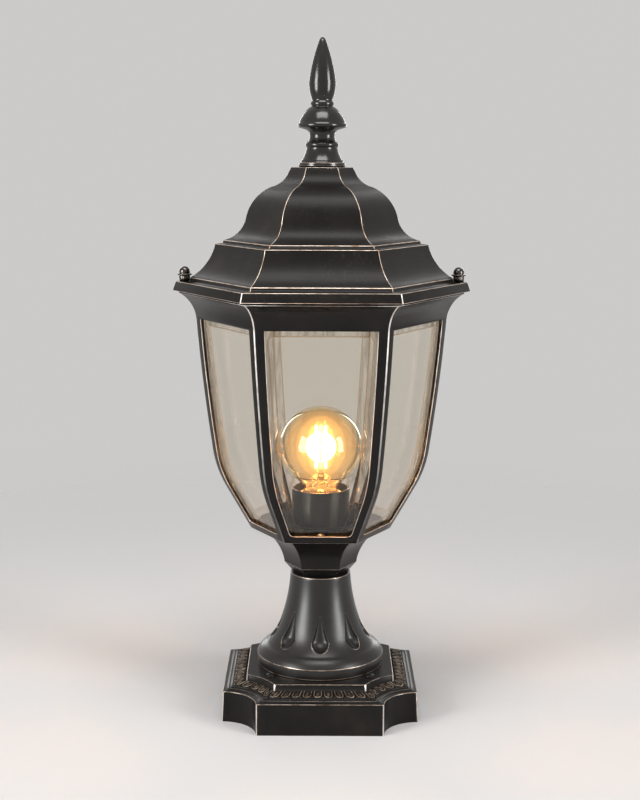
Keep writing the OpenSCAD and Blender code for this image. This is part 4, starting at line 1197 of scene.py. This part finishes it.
def roof_piece():
    piece = Piece("roof_casting")
    top = FINIAL_Z - ROOF_Z
    outside = marked(
        (95, 0),
        (106.4, 0, 1),
        (104.2, EAVE_H, 1),
        (94, EAVE_H),
        (93.6, 9.2, 1),
        bow((92.9, 9.8), (76, 32), 2.7, 16),
        (75.8, 33.2, 1),
        (70.4, 33.8),
        (70, 35.8, 1),
        bow((67.9, 36.4), (54, 51), 2.7, 14),
        bow((54, 51), (35.8, 73.4), -3.7, 20)[1:],
        bow((35.8, 73.4), (23.2, 84.5), 2.1, 12)[1:],
        (21.8, top, 0.6),
        (9, top),
        foot=ROOF_Z,
    )
    inside = marked(
        (9, top - 3),
        bow((33, 70.6), (20, 82), 2.1, 6)[::-1],
        bow((50.5, 48), (33, 70), -3.7, 10)[::-1],
        (66.5, 33),
        (66.5, 30.2),
        (72.4, 30.2),
        bow((89.5, 6.8), (72.5, 29), 2.7, 8)[::-1],
        (90.5, 3.6),
        (95, 3.6),
        (95, 0),
        foot=ROOF_Z,
    )
    made = piece.hexagonal(outside, gold=1.0)
    piece.hexagonal(inside)
    # the eave's corners are bright silver lines, painted highlights
    for a, b in zip(made[1], made[2]):
        edge = piece.bm.edges.get((a, b))
        edge[piece.gold], edge[piece.line] = 0, 1
    piece.make("roof", "cast_paint", [WEATHERED, EDGE, SILVER_HIGHLIGHT], ["roof"], gold=0.29, line=0.55)


def knurled_ring(r, z, count):
    """A round ring with every third point set in."""
    radii = [r - KNURL * (i % 3 == 0) for i in range(count)]
    return [(s * cos(a), s * sin(a), z) for s, a in zip(radii, angles(count))]


def knob_piece(side, hand, count=72):
    """A thumb screw: knurled barrel, thin collar and ball."""
    piece = Piece("knob_screw_" + hand)
    z = ROOF_Z + EAVE_H
    stem = ((1.75, ROOF_Z - 3.0), (1.75, z + 0.2), (3.3, z + 0.2))
    barrel = ((3.75, z + 0.6), (3.95, z + 3.6), (3.6, z + 4.1))
    collar = ((4.6, z + 4.3), (5.3, z + 4.6), (5.3, z + 5.2), (4.7, z + 5.5), (3.4, z + 5.6))
    ball = arc(BALL_R, BALL_R, z + BALL_H, range(-6, 88, 6))
    rings = [round_ring(r, h, count) for r, h in stem]
    rings += [knurled_ring(r, h, count) for r, h in barrel]
    rings += [round_ring(r, h, count) for r, h in (*collar, *ball)]
    piece.rings(rings, (), True, True)
    for v in piece.bm.verts:
        v.co.x += side * KNOB_D * MM
    piece.make("screw_" + hand, "dark_screw", [BRONZE], ["roof_screw_" + hand])


# Finial


def finial_piece():
    piece = Piece("finial_turning")
    top = TOP_Z - FINIAL_Z
    rows = marked(
        (6, 0),
        (16, 0),
        (16.5, 1.1, 0.4),
        (16.5, 3.1, 0.8),
        (15.2, 4.2),
        bow((15.2, 4.5), (11, 13.7), 0.6, 10),
        bow((11.1, 13.9), (11, 17.3), -0.9, 8),
        bow((10.6, 17.7), (10.8, 25.7), 1.8, 10),
        bow((16.2, 27.3), (16.6, 30.7), -1, 8),
        bow((16.5, 30.9), (8.7, 41.5), -1.1, 14),
        bow((7.6, 42), (7.6, 45.6), -0.8, 8),
        bow((7.2, 46.2), (9.6, 58.9), -0.7, 12),
        bow((9.6, 58.9), (2.2, top - 1.7), -0.95, 20)[1:],
        (1.2, top - 0.4),
        (0.3, top),
        foot=FINIAL_Z,
    )
    piece.turned(rows, cap_last=True)
    piece.make("roof", "cast_paint", [POLISHED, SOFT_EDGE], ["finial"], gold=0.25)


# What stays as the CAD made it

CAD_FINISH = (
    (ZINC, "mounting_plate threaded_tube tube_nuts tube_washers cage_screws clip_screws"),
    (ZINC, "finial_stud finial_nut"),
    (BRASS, "terminal_screws earth_screw screw_shell centre_contact"),
    (CAP, "bulb_cap bulb_tip"),
    (TERMINAL, "terminal_block"),
    (PORCELAIN, "holder_body"),
    (INSULATOR, "bulb_insulator"),
)


def finish_cad_nodes():
    for material, names in CAD_FINISH:
        for name in names.split():
            for slot in frame["nodes"][name].material_slots:
                slot.link = "OBJECT"
                slot.material = material


# Stage, lights and camera

BACKDROP = (0.60, 0.594, 0.585)
SKY = (0.93, 0.95, 1.0)
FLOOR = (0.62, 0.613, 0.603)
FLOOR_HALF = 3
FLOOR_FADE = 0.85


def plain_stage():
    """A floor that fades into the pale background away from the lamp."""
    mesh = bpy.data.meshes.new("floor")
    h = FLOOR_HALF
    mesh.from_pydata([(-h, -h, 0), (h, -h, 0), (h, h, 0), (-h, h, 0)], [], [(0, 1, 2, 3)])
    floor = in_scene("floor", mesh)
    nodes = Paint("floor_pale")
    shader = nodes.principled(Roughness=0.9, Base_Color=FLOOR, Specular_IOR_Level=0.1)
    around = nodes.stretched((FLOOR_FADE, FLOOR_FADE, 1))
    ball = nodes.join("TexGradient", around, gradient_type="SPHERICAL").outputs["Fac"]
    near = nodes.ramp(ball, (0.0, 0.0), (0.25, 0.12), (0.6, 0.85), (0.75, 1.0))
    clear = nodes.add("BsdfTransparent")
    mesh.materials.append(nodes.finish(nodes.join("MixShader", near, clear, shader)))


def plain_world():
    """A soft light from all sides, and a plain backdrop where the world itself is seen or mirrored."""
    world = bpy.data.worlds.new("studio")
    bpy.context.scene.world = world
    nodes = Nodes(world, "OutputWorld")
    ray = nodes.add("LightPath").outputs
    seen = nodes.join("Math", ray["Is Camera Ray"], ray["Is Transmission Ray"], operation="MAXIMUM")
    seen = nodes.join("Math", seen, ray["Is Glossy Ray"], operation="MAXIMUM")
    soft = nodes.add("Background", Color=SKY, Strength=0.25)
    shown = nodes.add("Background", Color=BACKDROP, Strength=1.0)
    nodes.finish(nodes.join("MixShader", seen, soft, shown))


def soft_light(name, at, size, energy, aim=(0, 0, 0.25)):
    data = bpy.data.lights.new(name, "AREA")
    data.shape = "RECTANGLE"
    data.size, data.size_y = size
    data.energy = energy
    light = in_scene(name, data)
    light.location = at
    light.rotation_euler = (Vector(aim) - Vector(at)).to_track_quat("-Z", "Y").to_euler()


def bulb_light():
    data = bpy.data.lights.new("bulb_light", "POINT")
    data.energy = 0.55
    data.color = (1.0, 0.66, 0.33)
    data.shadow_soft_size = 0.012
    light = in_scene("bulb_light", data)
    light.location = (0, 0, GLOBE_Z * MM)
    light.parent = frame["bodies"]["bulb"]


def plain_camera():
    """The photograph's view, with the pitch and roll that were fitted to the lantern's corners."""
    data = bpy.data.cameras.new("camera")
    data.sensor_width = 36
    data.lens = 65.07
    data.clip_start, data.clip_end = 0.01, 50
    camera = in_scene("camera", data)
    camera.location = (-0.00081, -1.03085, 0.40141)
    pitch = Matrix.Rotation(radians(90 - 9.605), 3, "X")
    roll = Matrix.Rotation(0.00404, 3, "Z")
    camera.rotation_euler = (pitch @ roll).to_euler()
    bpy.context.scene.camera = camera


base_piece()
band_piece()
base_screw_piece()
column_piece()
cup_piece()
cage_piece()
for number in range(1, 7):
    pane_piece(number)
clip_piece()
tray_piece()
tray_screw_piece()
sleeve_piece()
bulb_glass_piece()
stem_piece()
filament_piece()
lead_piece()
painted_glow_pieces()
roof_piece()
knob_piece(-1, "left")
knob_piece(1, "right")
finial_piece()
finish_cad_nodes()

plain_stage()
plain_world()
soft_light("left_strip", (-1.12, -0.80, 0.50), (0.50, 0.95), 21)
soft_light("right_strip", (1.17, -0.74, 0.50), (0.40, 0.95), 17)
soft_light("top_soft", (0, -0.35, 1.30), (0.7, 0.45), 7.5, (0, 0, 0.3))
soft_light("back_left", (-0.55, 1.25, 0.5), (0.16, 0.9), 2.5)
soft_light("back_right", (0.55, 1.25, 0.5), (0.16, 0.9), 2.5)
bulb_light()
plain_camera()

scene = bpy.context.scene
scene.view_settings.view_transform = "Standard"
